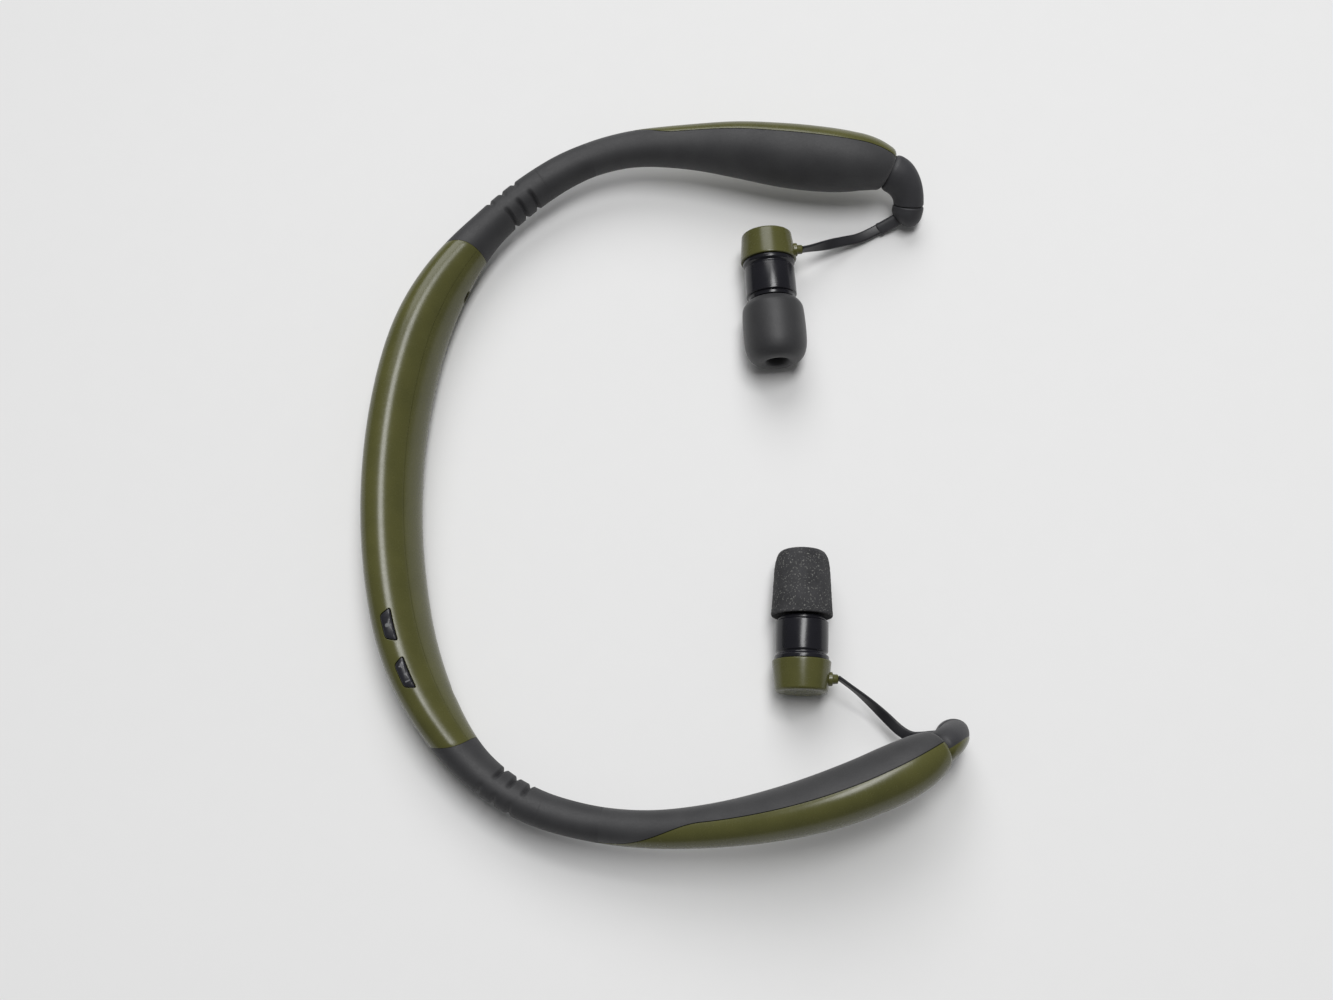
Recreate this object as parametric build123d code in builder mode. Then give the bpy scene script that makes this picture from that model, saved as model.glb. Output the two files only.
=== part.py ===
from build123d import *
import math
import os

# Behind-the-neck wireless headset with two earbuds that pull out of its arms on reeled cords.
# It lies on a table: +X runs from the back of the neck to the arm tips, +Y is the wearer's left, +Z is up.
# The origin is the centre of the footprint, on the table. All sizes are in millimetres.

SIDES = ("left", "right")
MIRROR = {"left": 1, "right": -1}

# The band's centre line in plan: arcs of (length, radius), from the middle of the pod outwards.
POD_MIDDLE_X = -59.8
POD_MIDDLE_Y = -3.7
POD_ARCS = ((30, 138), (30, 70.7))
ARM_ARCS = {
    "left": ((26, 74.6), (25, 44.3), (25, 139), (32, -239)),
    "right": ((26.9, 42.7), (25.9, 75.3), (25.9, 128.3), (33.1, 111.4)),
}
POD_END = 60
ARM_STRETCH = {"left": 1.0, "right": 1.045}

# Height and roll of the band along its length.
POD_HEIGHT = 8.0
ARM_RISE = {"left": 3.1, "right": 7.9}
RISE_FROM, RISE_TO = 66, 150
POD_ROLL = 30             # the pod leans outwards as it lies
ARM_ROLL = {"left": 52, "right": 9}
ROLL_FROM, ROLL_TO = 62, 108
DROOP_FROM, DROOP_RADIUS = 158, 20

# Half sizes of the oval section: (distance along the band, outward, upward).
SECTIONS = (
    (0, 5.6, 8.35), (20, 5.55, 8.3), (30, 5.5, 8.1), (40, 5.3, 7.65), (50, 4.85, 6.7), (60, 4.3, 5.4),
    (66, 3.95, 4.75), (72, 3.8, 4.5), (80, 3.8, 4.3), (90, 3.75, 4.1), (96, 3.75, 4.0),
    (107, 4.0, 4.3), (119, 4.6, 5.2), (131, 5.4, 6.6), (142, 6.0, 7.45), (150, 6.2, 7.5),
    (156, 6.2, 7.1), (162, 5.6, 6.1), (166, 4.5, 4.9),
)

# Shells.
POD_WALL = 1.3
ARM_WALL = 1.1
SEAM_GAP = 0.9            # degrees of arc left between two shells
POD_SEAM_TOP, POD_SEAM_BOTTOM = 162, -82    # edges of the pod's outer shell, from outward towards upward
COVER_TOP = {"left": 122, "right": 107}
COVER_BOTTOM = -76
COVER_POINT = 24          # the cover starts as a point at this angle
COVER_FROM, COVER_FULL = 96, 116
NECK_WALL = 1.3
NECK_FROM, FLEX_TO, NECK_TO, ARM_END = 60.15, 83, 95.8, 166
GROOVES = (71.5, 75.0, 78.5)
GROOVE_WIDTH, GROOVE_DEPTH, GROOVE_TOP = 1.0, 0.55, 0.6
GROOVE_ANGLES = (-70, 250)
JOINT_GAP = 0.1           # at each side of the place where the neck's two sleeves meet
WIRE_FROM, WIRE_TO, WIRE_RADIUS, WIRE_UP = 53, 94, 0.6, -1.3
LEAD_FROM, LEAD_TO, LEAD_RADIUS, LEAD_UP = 52.5, 94, 0.7, 1.2
ANCHOR_FROM, ANCHOR_TO, ANCHOR_RADIUS, ANCHOR_BORE = 53.5, 58, 1.5, 0.65
ARM_LEAD_FROM, ARM_LEAD_TO, ARM_LEAD_RADIUS, ARM_LEAD_UP = 97, 136, 0.6, 1.0

# Hook at the arm's end.
HOOK_RADIUS = {"left": 8.5, "right": 10.0}
HOOK_LENGTH = 10.2
HOOK_ROOT = ((-5, 2.85, 3.2), (-2.7, 2.85, 3.2), (-0.4, 2.85, 3.2))    # past the arm's end, outward, upward
HOOK_FREE = ((1.2, 3.2, 4.2), (4.2, 3.1, 3.9), (7.2, 3.05, 3.65), (HOOK_LENGTH, 3.05, 3.55))
HOOK_BORE = 1.6
CAP_CENTRE, CAP_GAP, CAP_WIDEST = 12.4, 0.25, 11.4
CAP_HOLLOW = {"left": 1.8, "right": 2.2}
CAP_END = {"left": 14.8, "right": 15.7}
# The cap's half sizes, outward and upward, at shares of the way from its widest place to its end.
CAP_DOME = ((0, 3.2, 3.75), (0.4, 3.1, 3.6), (0.75, 2.7, 3.05), (1, 1.8, 2.1))
SLEEVE_ANGLE = {"left": 146, "right": 173}    # turned down from straight forward
SLEEVE_SWING = {"left": 0, "right": 21}       # then turned inward
SLEEVE_LENGTH = {"left": 7.4, "right": 6.2}
SLEEVE_WIDTH, SLEEVE_THICK, SLEEVE_FROM, SLEEVE_GAP, SLEEVE_CUT = 2.9, 1.9, 1.8, 0.1, 6.0

# Buds: place of the closed end's centre, direction of the tip in plan, foam profile.
BUD_END = {"left": (24.4, 57.0), "right": (30.4, -49.7)}
BUD_TIP_ANGLE = {"left": -86.2, "right": 88.4}
CAP_RADIUS, CAP_END_RADIUS, CAP_LENGTH = 6.45, 5.75, 6.8
CAP_WALL, CAP_FLOOR, CAP_ROUND = 1.0, 1.1, 0.5
BARREL_RADIUS, BARREL_TO, BARREL_FROM, BARREL_BORE = 5.8, 16.4, 4.5, 4.0
COLLAR_DOWN, COLLAR_FROM, COLLAR_TO = 0.35, 6.9, 8.2    # the barrel's narrower collar, next to the cap
TAIL_RADIUS, BARREL_FLOOR = 5.05, 1.4
NOZZLE_RADIUS, NOZZLE_BORE, NOZZLE_TO = 2.15, 1.2, 29.4
DRIVER = ((0, 11.2), (3.9, 11.2), (3.9, 14.2), (3.2, 14.8), (0, 14.8))    # outline: radius, distance
SCREEN_DEPTH, SCREEN_THICK = 1.0, 0.4
FOAM_BORE, FOAM_FROM, FOAM_TO = 2.25, 16.6, 31.5
FOAM_SHOULDERS = (3.5, 5.0)                  # from its base and from its end to where it is widest
FOAM_BASE = {"left": 6.1, "right": 6.75}
FOAM_WIDE = {"left": 7.2, "right": 6.35}
FOAM_END = {"left": 5.0, "right": 4.4}
BUD_AXIS_HEIGHT = {"left": 7.45, "right": 6.85}
BOSS_PLACE = {"left": 4.2, "right": 3.1}
COLLAR_RADIUS, COLLAR_LENGTH = 1.5, 0.95
BOSS_RADIUS, BOSS_LENGTH, BOSS_PIN, BOSS_PIN_LENGTH = 1.05, 1.9, 0.5, 1.3
BOSS_INTO, PIN_GAP = 0.05, 0.1

# Cords.
CORD_RADIUS = 0.6
CORD_ROUTE = {
    "left": (
        (49.0, 73.1, 10.8), (53.1, 72.2, 10.3), (56.6, 70.6, 8.9), (58.7, 67.2, 6.4), (57.8, 63.7, 3.9),
        (54.4, 62.4, 2.5), (50.9, 60.9, 1.6), (46.8, 58.6, 1.7), (42.1, 57.1, 3.2), (37.4, 55.0, 5.5),
        (33.1, 53.4, 7.4),
    ),
    "right": (
        (54.5, -65.1, 15.5), (58.2, -62.9, 14.6), (61.2, -60.7, 12.4), (62.8, -59.5, 9.9), (62.8, -59.1, 7.2),
        (61.5, -58.8, 5.2), (59.1, -58.7, 4.1), (56.6, -59.0, 4.3), (54.0, -59.1, 4.6), (51.5, -57.6, 4.7),
        (49.0, -55.0, 4.6), (45.6, -51.8, 5.1), (42.1, -49.0, 6.1), (38.9, -46.8, 6.8),
    ),
}
RUN_SHARE = 0.45          # of the shorter run that an arc takes

# Reel inside each arm.
REEL_PLACE = 145
AXLE_RADIUS, AXLE_HALF, AXLE_GAP = 0.9, 3.9, 0.02
BRACKET_FROM, BRACKET_THICK = 3.6, 0.6
BRACKET_LENGTH, BRACKET_WIDTH, BRACKET_ROUND, BRACKET_BACK = 8.8, 5.6, 1.2, 1.6
WEB_BACK, WEB_THICK, WEB_WIDTH = 5.6, 0.7, 4.4
WOUND_RADIUS, WOUND_GAP = 4.2, 0.05
SPRING_FROM, SPRING_HEIGHT, SPRING_STRIP = 2.0, 0.9, 0.12
SPRING_START, SPRING_STEP, SPRING_TURNS = 1.5, 0.15, 7
SPOOL_BORE, SPOOL_CORE, SPOOL_FLANGE, SPOOL_HALF = 0.95, 2.6, 4.7, 1.9
FLANGE_THICK = 0.5

# Pod electronics and controls. Each plane lies at an angle and a depth under the pod's surface.
BATTERY_FROM, BATTERY_TO = -14, 14
BATTERY_HEIGHT, BATTERY_HALF, BATTERY_INWARD, BATTERY_ROUND = 9.0, 2.3, 0.4, 1.0
BOARD_FROM, BOARD_TO = -46, -17
BOARD_HEIGHT, BOARD_DROP, BOARD_THICK, BOARD_INWARD = 7.4, 0.7, 0.8, 1.4
CHIPS = ((2.5, 1.5, 5.0, 4.0), (8.5, 2.0, 3.0, 2.4))    # along, down, length, height
CHIP_THICK, CHIP_GAP = 0.8, 0.05
MIC_PLACE, MIC_ANGLE, MIC_HOLE = -21, 8, 0.5
MIC_DEPTH, MIC_LENGTH, MIC_WIDTH, MIC_THICK = 3.1, 3.0, 2.2, 1.0
POWER_AT, VOLUME_AT = -32.6, -43.3
BUTTON_LENGTH, BUTTON_TAPER, BUTTON_THICK = 7.3, 1.3, 1.5
BUTTON_ANGLE, BUTTON_LOW, BUTTON_HIGH = 107, 95, 119
BUTTON_GAP, BUTTON_PROUD, BUTTON_TIP = 0.25, 0.25, 6    # the tip's last degrees do not taper
LENS_RADIUS, LENS_DEPTH, LENS_LENGTH = 0.5, 1.2, 1.4
SWITCH_DEPTH, SWITCH_SIZE, SWITCH_THICK, SWITCH_GAP = 3.9, 2.0, 0.9, 0.05
SWITCH_BOARD_LENGTH, SWITCH_BOARD_WIDTH, SWITCH_BOARD_THICK = 17.0, 3.4, 0.5
VOLUME_SPACING = 1.6      # each volume switch from the rocker's middle
PORT_FROM, PORT_TO = 22, 33
PORT_ANGLE, PORT_SPREAD, PORT_GAP, PORT_HINGE_GAP, FLAP_THICK = 38, 21, 0.2, 0.6, 1.1
SOCKET_DEPTH, SOCKET_LENGTH = 6.2, 4.6
SOCKET_OUTER, SOCKET_OUTER_ROUND = (7.6, 3.0), 0.7
SOCKET_INNER, SOCKET_INNER_ROUND, SOCKET_FLOOR = (6.9, 2.3), 0.4, 0.8
SOCKET_TONGUE, SOCKET_TONGUE_UP = (4.0, 0.6), 0.25
SCREW_PLACES = (-50, 50)
SCREW_ANGLE = 225
BOSS_SINK, POD_BOSS_RADIUS, PILOT_RADIUS, PILOT_DEPTH = 2.9, 1.7, 0.75, 5.0
SHANK_RADIUS, SHANK_LENGTH, HEAD_RADIUS, HEAD_SINK, HEAD_THICK = 0.65, 5.6, 1.4, 0.65, 0.5
SHANK_GAP, HEAD_GAP, SEAT_GAP, BOSS_SHORT = 0.15, 0.1, 0.05, 0.5
THROUGH = 4.0             # depth of a cut that goes right through a wall

os.makedirs("parts", exist_ok=True)


# ---------------------------------------------------------------- centre line and sections

def ease(value, start, end):
    """0 before start, 1 after end, and smooth between them."""
    t = min(max((value - start) / (end - start), 0), 1)
    return t * t * (3 - 2 * t)


def along(side, place):
    """Distance along the centre line for a place on the band."""
    return place if place <= POD_END else POD_END + (place - POD_END) * ARM_STRETCH[side]


def plan_point(side, place):
    """X, Y and heading of the centre line in plan, as if on the left side."""
    left_over = along(side, place)
    x, y, heading = 0.0, 0.0, math.pi / 2
    arcs = POD_ARCS + ARM_ARCS[side]
    for index, (length, radius) in enumerate(arcs):
        step = left_over if index == len(arcs) - 1 else min(left_over, length)
        turned = heading - step / radius
        x += radius * (math.sin(heading) - math.sin(turned))
        y += radius * (math.cos(turned) - math.cos(heading))
        heading = turned
        left_over -= step
        if left_over <= 0:
            break
    return x, y, heading


def turn(first, second, degrees):
    """The vector that lies degrees from first towards second, both of length 1 and square to each other."""
    angle = math.radians(degrees)
    return first * math.cos(angle) + second * math.sin(angle)


def band_frame(side, place):
    """Centre, forward, outward and upward directions of the band at a place."""
    x, y, heading = plan_point(side, place)
    rise = ARM_RISE[side] * ease(place, RISE_FROM, RISE_TO)
    step = 0.1
    slope = ARM_RISE[side] * (ease(place + step, RISE_FROM, RISE_TO) - ease(place, RISE_FROM, RISE_TO)) / step
    flip = MIRROR[side]
    centre = Vector(POD_MIDDLE_X + x, POD_MIDDLE_Y + flip * y, POD_HEIGHT + rise)
    flat = Vector(math.cos(heading), flip * math.sin(heading), 0)
    outward = Vector(-math.sin(heading), flip * math.cos(heading), 0)
    climb = math.degrees(math.atan(slope))
    forward = turn(flat, Vector(0, 0, 1), climb)
    upright = turn(Vector(0, 0, 1), flat * -1, climb)
    roll = POD_ROLL + (ARM_ROLL[side] - POD_ROLL) * ease(place, ROLL_FROM, ROLL_TO)
    up = turn(upright, outward, roll)
    out = turn(outward, upright * -1, roll)
    past = max(place - DROOP_FROM, 0)
    dip = math.degrees(math.atan(past / DROOP_RADIUS))
    centre = centre - up * (past * past / (2 * DROOP_RADIUS))
    return centre, turn(forward, up * -1, dip), out, turn(up, forward, dip)


def hook_frame(side, past):
    """The same four on the hook, at a distance past the arm's end."""
    centre, forward, out, up = band_frame(side, ARM_END + min(past, 0))
    if past <= 0:
        return centre, forward, out, up
    radius = HOOK_RADIUS[side]
    bend = math.degrees(past / radius)
    away = turn(up, forward, bend)
    return centre + (away - up) * radius, turn(forward, up * -1, bend), out, away


def pod_frame(place):
    """The band's frame from the pod's right end (negative) to its left end, always facing left."""
    if place >= 0:
        return band_frame("left", place)
    centre, forward, out, up = band_frame("right", -place)
    return centre, forward * -1, out, up


def section_plane(frame):
    """Plane across the band: x is outward. Its y is upward, or downward on the right arm."""
    centre, forward, out, up = frame
    return Plane(origin=centre, x_dir=out, z_dir=forward)


def flipped(frame):
    """-1 where the section plane's y points down."""
    centre, forward, out, up = frame
    return 1 if forward.cross(out).dot(up) > 0 else -1


def half_sizes(place):
    """Half sizes of the oval at a place, on a smooth curve through SECTIONS."""
    place = min(abs(place), SECTIONS[-1][0])
    rows = [(-row[0], row[1], row[2]) for row in SECTIONS[2:0:-1]] + list(SECTIONS)
    index = max(i for i in range(len(rows) - 1) if rows[i][0] <= place)
    before, first, second = rows[max(index - 1, 0)], rows[index], rows[index + 1]
    after = rows[min(index + 2, len(rows) - 1)]
    span = second[0] - first[0]
    t = (place - first[0]) / span
    sizes = []
    for k in (1, 2):
        slope_in = (second[k] - before[k]) / (second[0] - before[0]) * span
        slope_out = (after[k] - first[k]) / (after[0] - first[0]) * span
        sizes.append(
            first[k] * (2 * t**3 - 3 * t**2 + 1) + slope_in * (t**3 - 2 * t**2 + t)
            + second[k] * (3 * t**2 - 2 * t**3) + slope_out * (t**3 - t**2)
        )
    return sizes


def oval(frame, half_out, half_up):
    """A whole oval across the band."""
    with BuildSketch(section_plane(frame)) as shape:
        Ellipse(half_out, half_up)
    return shape.sketch


def strip(frame, half_out, half_up, wall, start, end):
    """A strip of an oval wall between two angles, counted from outward towards upward."""
    flip = flipped(frame)
    first, last = (start, end) if flip > 0 else (-end, -start)
    with BuildSketch(section_plane(frame)) as shape:
        with BuildLine():
            span = {"start_angle": first, "arc_size": last - first}
            outer = EllipticalCenterArc((0, 0), half_out, half_up, **span)
            inner = EllipticalCenterArc((0, 0), half_out - wall, half_up - wall, **span)
            Line(outer @ 0, inner @ 0)
            Line(outer @ 1, inner @ 1)
        make_face()
    return shape.sketch


def disc(frame, radius, out_by=0, up_by=0):
    """A round spot across the band, off its centre."""
    with BuildSketch(section_plane(frame)) as shape:
        with Locations((out_by, up_by * flipped(frame))):
            Circle(radius)
    return shape.sketch


def steps(start, end, count):
    return [start + (end - start) * i / count for i in range(count + 1)]


def save(part, name):
    part.label = name
    export_step(part, "parts/" + name + ".step")


# ---------------------------------------------------------------- pod

def button_strip(place, margin=0.0, lift=BUTTON_PROUD, thick=BUTTON_THICK):
    """Sections of a control cap: a long edge along the top of the pod and a short edge on its outer side."""
    half = BUTTON_LENGTH / 2 + margin
    tip = BUTTON_HIGH - BUTTON_TIP
    shapes = []
    inset = half - BUTTON_TAPER
    for offset, low in ((-half, tip), (-inset, BUTTON_LOW), (inset, BUTTON_LOW), (half, tip)):
        spot = place + offset
        half_out, half_up = half_sizes(spot)
        spare = math.degrees(margin / half_out)
        shapes.append(strip(
            pod_frame(spot), half_out + lift, half_up + lift, thick + lift, low - spare, BUTTON_HIGH + spare
        ))
    return shapes


def face_frame(place, angle, depth):
    """Plane on the pod's surface at an angle from outward: x runs along the pod, z points out."""
    centre, forward, out, up = pod_frame(place)
    half_out, half_up = half_sizes(place)
    t = math.radians(angle)
    spot = centre + out * (half_out * math.cos(t)) + up * (half_up * math.sin(t))
    normal = (out * (math.cos(t) / half_out) + up * (math.sin(t) / half_up)).normalized()
    return Plane(origin=spot - normal * depth, x_dir=forward, z_dir=normal)


def pod_strips(start, end):
    """Sections of one of the pod's shells, between two angles."""
    return [strip(pod_frame(u), *half_sizes(u), POD_WALL, start, end) for u in steps(-POD_END, POD_END, 12)]


def port_strip(margin, hinge_gap, thick):
    """Sections of the charging port's cover, on the pod's outer side."""
    shapes = []
    for spot in steps(PORT_FROM - hinge_gap, PORT_TO + margin, 3):
        half_out, half_up = half_sizes(spot)
        half = PORT_SPREAD + math.degrees(margin / half_up)
        shapes.append(strip(
            pod_frame(spot), half_out + margin, half_up + margin, thick, PORT_ANGLE - half, PORT_ANGLE + half
        ))
    return shapes


with BuildPart() as pod_outer_shell:
    loft(pod_strips(POD_SEAM_BOTTOM, POD_SEAM_TOP))
    for spot in SCREW_PLACES:
        boss_plane = face_frame(spot, SCREW_ANGLE, BOSS_SINK)
        with BuildSketch(boss_plane):
            Circle(POD_BOSS_RADIUS)
        extrude(amount=-(2 * half_sizes(spot)[0] - BOSS_SHORT - BOSS_SINK))
        with BuildSketch(boss_plane):
            Circle(PILOT_RADIUS)
        extrude(amount=-PILOT_DEPTH, mode=Mode.SUBTRACT)
    for place in (POWER_AT, VOLUME_AT):
        loft(button_strip(place, margin=BUTTON_GAP, lift=1.0, thick=THROUGH), ruled=True, mode=Mode.SUBTRACT)
    loft(port_strip(PORT_GAP, PORT_HINGE_GAP, THROUGH), mode=Mode.SUBTRACT)
    with BuildSketch(face_frame(MIC_PLACE, MIC_ANGLE, THROUGH - 1.0)):
        Circle(MIC_HOLE)
    extrude(amount=THROUGH, mode=Mode.SUBTRACT)
save(pod_outer_shell.part, "pod_outer_shell")

with BuildPart() as pod_inner_cover:
    loft(pod_strips(POD_SEAM_TOP + SEAM_GAP, 360 + POD_SEAM_BOTTOM - SEAM_GAP))
    for spot in SCREW_PLACES:
        with BuildSketch(face_frame(spot, SCREW_ANGLE, THROUGH - 1.0)):
            Circle(SHANK_RADIUS + SHANK_GAP)
        extrude(amount=THROUGH, mode=Mode.SUBTRACT)
        with BuildSketch(face_frame(spot, SCREW_ANGLE, HEAD_SINK + SEAT_GAP)):
            Circle(HEAD_RADIUS + HEAD_GAP)
        extrude(amount=THROUGH, mode=Mode.SUBTRACT)
save(pod_inner_cover.part, "pod_inner_cover")

with BuildPart() as pod_screws:
    for spot in SCREW_PLACES:
        head = face_frame(spot, SCREW_ANGLE, HEAD_SINK)
        with BuildSketch(head):
            Circle(HEAD_RADIUS)
        extrude(amount=HEAD_THICK)
        with BuildSketch(head):
            Circle(SHANK_RADIUS)
        extrude(amount=-SHANK_LENGTH)
save(pod_screws.part, "pod_screws")

with BuildPart() as battery:
    centre, forward, out, up = pod_frame((BATTERY_FROM + BATTERY_TO) / 2)
    with BuildSketch(Plane(origin=centre - out * BATTERY_INWARD, x_dir=forward, z_dir=out)):
        RectangleRounded(BATTERY_TO - BATTERY_FROM, BATTERY_HEIGHT, BATTERY_ROUND)
    extrude(amount=BATTERY_HALF, both=True)
save(battery.part, "battery")

centre, forward, out, up = pod_frame((BOARD_FROM + BOARD_TO) / 2)
board_plane = Plane(origin=centre - out * BOARD_INWARD, x_dir=forward, z_dir=out)
with BuildPart() as main_board:
    with BuildSketch(board_plane):
        with Locations((0, BOARD_DROP)):
            Rectangle(BOARD_TO - BOARD_FROM, BOARD_HEIGHT)
    extrude(amount=BOARD_THICK)
save(main_board.part, "main_board")

with BuildPart() as radio_chips:
    with BuildSketch(board_plane.offset(BOARD_THICK + CHIP_GAP)):
        for along_by, up_by, length, height in CHIPS:
            with Locations((along_by, up_by)):
                Rectangle(length, height)
    extrude(amount=CHIP_THICK)
save(radio_chips.part, "radio_chips")

with BuildPart() as microphone:
    with BuildSketch(face_frame(MIC_PLACE, MIC_ANGLE, MIC_DEPTH)):
        Rectangle(MIC_LENGTH, MIC_WIDTH)
    extrude(amount=MIC_THICK)
save(microphone.part, "microphone")

switch_middle = (POWER_AT + VOLUME_AT) / 2
with BuildPart() as switch_board:
    with BuildSketch(face_frame(switch_middle, BUTTON_ANGLE, SWITCH_DEPTH)):
        Rectangle(SWITCH_BOARD_LENGTH, SWITCH_BOARD_WIDTH)
    extrude(amount=SWITCH_BOARD_THICK)
save(switch_board.part, "switch_board")

with BuildPart() as tact_switches:
    with BuildSketch(face_frame(switch_middle, BUTTON_ANGLE, SWITCH_DEPTH - SWITCH_BOARD_THICK - SWITCH_GAP)):
        for spot in (POWER_AT, VOLUME_AT - VOLUME_SPACING, VOLUME_AT + VOLUME_SPACING):
            with Locations((spot - switch_middle, 0)):
                Rectangle(SWITCH_SIZE, SWITCH_SIZE)
    extrude(amount=SWITCH_THICK)
save(tact_switches.part, "tact_switches")

with BuildPart() as charging_socket:
    socket_plane = face_frame((PORT_FROM + PORT_TO) / 2, PORT_ANGLE, SOCKET_DEPTH)
    with BuildSketch(socket_plane):
        RectangleRounded(*SOCKET_OUTER, SOCKET_OUTER_ROUND)
    extrude(amount=SOCKET_LENGTH)
    with BuildSketch(socket_plane.offset(SOCKET_FLOOR)):
        RectangleRounded(*SOCKET_INNER, SOCKET_INNER_ROUND)
        with Locations((0, SOCKET_TONGUE_UP)):
            Rectangle(*SOCKET_TONGUE, mode=Mode.SUBTRACT)
    extrude(amount=SOCKET_LENGTH, mode=Mode.SUBTRACT)
save(charging_socket.part, "charging_socket")

with BuildPart() as port_flap:
    loft(port_strip(0.0, 0.0, FLAP_THICK))
save(port_flap.part, "port_flap")

with BuildPart() as power_button:
    loft(button_strip(POWER_AT), ruled=True)
    with BuildSketch(face_frame(POWER_AT, BUTTON_ANGLE, -1.0)):
        Circle(LENS_RADIUS + SEAT_GAP)
    extrude(amount=-THROUGH, mode=Mode.SUBTRACT)
save(power_button.part, "power_button")

with BuildPart() as status_lens:
    with BuildSketch(face_frame(POWER_AT, BUTTON_ANGLE, LENS_DEPTH)):
        Circle(LENS_RADIUS)
    extrude(amount=LENS_LENGTH)
save(status_lens.part, "status_lens")

with BuildPart() as volume_rocker:
    loft(button_strip(VOLUME_AT), ruled=True)
save(volume_rocker.part, "volume_rocker")


# ---------------------------------------------------------------- necks

def hollow(side, places, wall):
    """Outer and inner sections of a tube along the band."""
    outer = [oval(band_frame(side, u), *half_sizes(u)) for u in places]
    inner = [oval(band_frame(side, u), *(h - wall for h in half_sizes(u))) for u in places]
    return outer, inner


def thread(side, start, end, count, radius, up_by):
    """Sections of a thin wire or lead along the band."""
    return [disc(band_frame(side, u), radius, 0, up_by) for u in steps(start, end, count)]


def make_neck(side):
    grip_outer, grip_inner = hollow(side, steps(NECK_FROM, FLEX_TO - JOINT_GAP, 6), NECK_WALL)
    with BuildPart() as neck_grip:
        loft(grip_outer)
        loft(grip_inner, mode=Mode.SUBTRACT)
        for groove in GROOVES:
            edges = (groove - GROOVE_WIDTH / 2, groove + GROOVE_WIDTH / 2)
            cuts = []
            for u in edges:
                grown = [half + GROOVE_TOP for half in half_sizes(u)]
                cuts.append(strip(band_frame(side, u), *grown, GROOVE_TOP + GROOVE_DEPTH, *GROOVE_ANGLES))
            loft(cuts, mode=Mode.SUBTRACT)
    save(neck_grip.part, side + "_neck_grip")

    tail_outer, tail_inner = hollow(side, steps(FLEX_TO + JOINT_GAP, NECK_TO, 3), NECK_WALL)
    with BuildPart() as neck_tail:
        loft(tail_outer)
        loft(tail_inner, mode=Mode.SUBTRACT)
    save(neck_tail.part, side + "_neck_tail")

    with BuildPart() as spring_wire:
        loft(thread(side, WIRE_FROM, WIRE_TO, 10, WIRE_RADIUS, WIRE_UP))
    save(spring_wire.part, side + "_spring_wire")

    with BuildPart() as neck_lead:
        loft(thread(side, LEAD_FROM, LEAD_TO, 10, LEAD_RADIUS, LEAD_UP))
    save(neck_lead.part, side + "_neck_lead")

    with BuildPart() as wire_anchor:
        loft(thread(side, ANCHOR_FROM, ANCHOR_TO, 2, ANCHOR_RADIUS, WIRE_UP))
        loft(thread(side, ANCHOR_FROM, ANCHOR_TO, 2, ANCHOR_BORE, WIRE_UP), mode=Mode.SUBTRACT)
    save(wire_anchor.part, side + "_wire_anchor")


# ---------------------------------------------------------------- arms

def cover_angles(side, place):
    """Lower and upper angle of the arm's cover at a place."""
    share = 0.04 + 0.96 * ease(place, COVER_FROM, COVER_FULL)
    top = COVER_TOP[side]
    return COVER_POINT + (COVER_BOTTOM - COVER_POINT) * share, COVER_POINT + (top - COVER_POINT) * share


def make_arm(side):
    places = steps(COVER_FROM, 156, 12) + [160, 163, ARM_END]
    cover, body = [], []
    for u in places:
        low, high = cover_angles(side, u)
        frame, sizes = band_frame(side, u), half_sizes(u)
        cover.append(strip(frame, *sizes, ARM_WALL, low, high))
        body.append(strip(frame, *sizes, ARM_WALL, high + SEAM_GAP, 360 + low - SEAM_GAP))
    with BuildPart() as arm_cover:
        loft(cover)
    save(arm_cover.part, side + "_arm_cover")
    with BuildPart() as arm_body:
        loft(body)
    save(arm_body.part, side + "_arm_body")

    with BuildPart() as arm_lead:
        loft(thread(side, ARM_LEAD_FROM, ARM_LEAD_TO, 8, ARM_LEAD_RADIUS, ARM_LEAD_UP))
    save(arm_lead.part, side + "_arm_lead")


def make_hook(side):
    solid = [oval(hook_frame(side, past), out_by, up_by) for past, out_by, up_by in HOOK_ROOT + HOOK_FREE]
    bore = [disc(hook_frame(side, past), HOOK_BORE) for past in steps(HOOK_ROOT[0][0], HOOK_LENGTH, 5)]
    with BuildPart() as hook_guide:
        loft(solid)
        loft(bore, mode=Mode.SUBTRACT)
    save(hook_guide.part, side + "_hook_guide")

    start = HOOK_LENGTH + CAP_GAP
    dome = [oval(hook_frame(side, start), *CAP_DOME[1][1:])]
    for share, out_by, up_by in CAP_DOME:
        past = CAP_WIDEST + (CAP_END[side] - CAP_WIDEST) * share
        dome.append(oval(hook_frame(side, past), out_by, up_by))
    sleeve = sleeve_plane(side)
    with BuildPart() as hook_cap:
        loft(dome)
        bore = [disc(hook_frame(side, past), HOOK_BORE) for past in steps(start, CAP_CENTRE, 2)]
        loft(bore, mode=Mode.SUBTRACT)
        with Locations(sleeve):
            Sphere(CAP_HOLLOW[side], mode=Mode.SUBTRACT)
        with BuildSketch(sleeve):
            Ellipse(SLEEVE_WIDTH / 2 + SLEEVE_GAP, SLEEVE_THICK / 2 + SLEEVE_GAP)
        extrude(amount=SLEEVE_CUT, mode=Mode.SUBTRACT)
    save(hook_cap.part, side + "_hook_cap")

    with BuildPart() as cord_sleeve:
        with BuildSketch(sleeve.offset(SLEEVE_FROM)):
            Ellipse(SLEEVE_WIDTH / 2, SLEEVE_THICK / 2)
            Circle(CORD_RADIUS + SLEEVE_GAP, mode=Mode.SUBTRACT)
        extrude(amount=SLEEVE_LENGTH[side] - SLEEVE_FROM)
    save(cord_sleeve.part, side + "_cord_sleeve")


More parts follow.
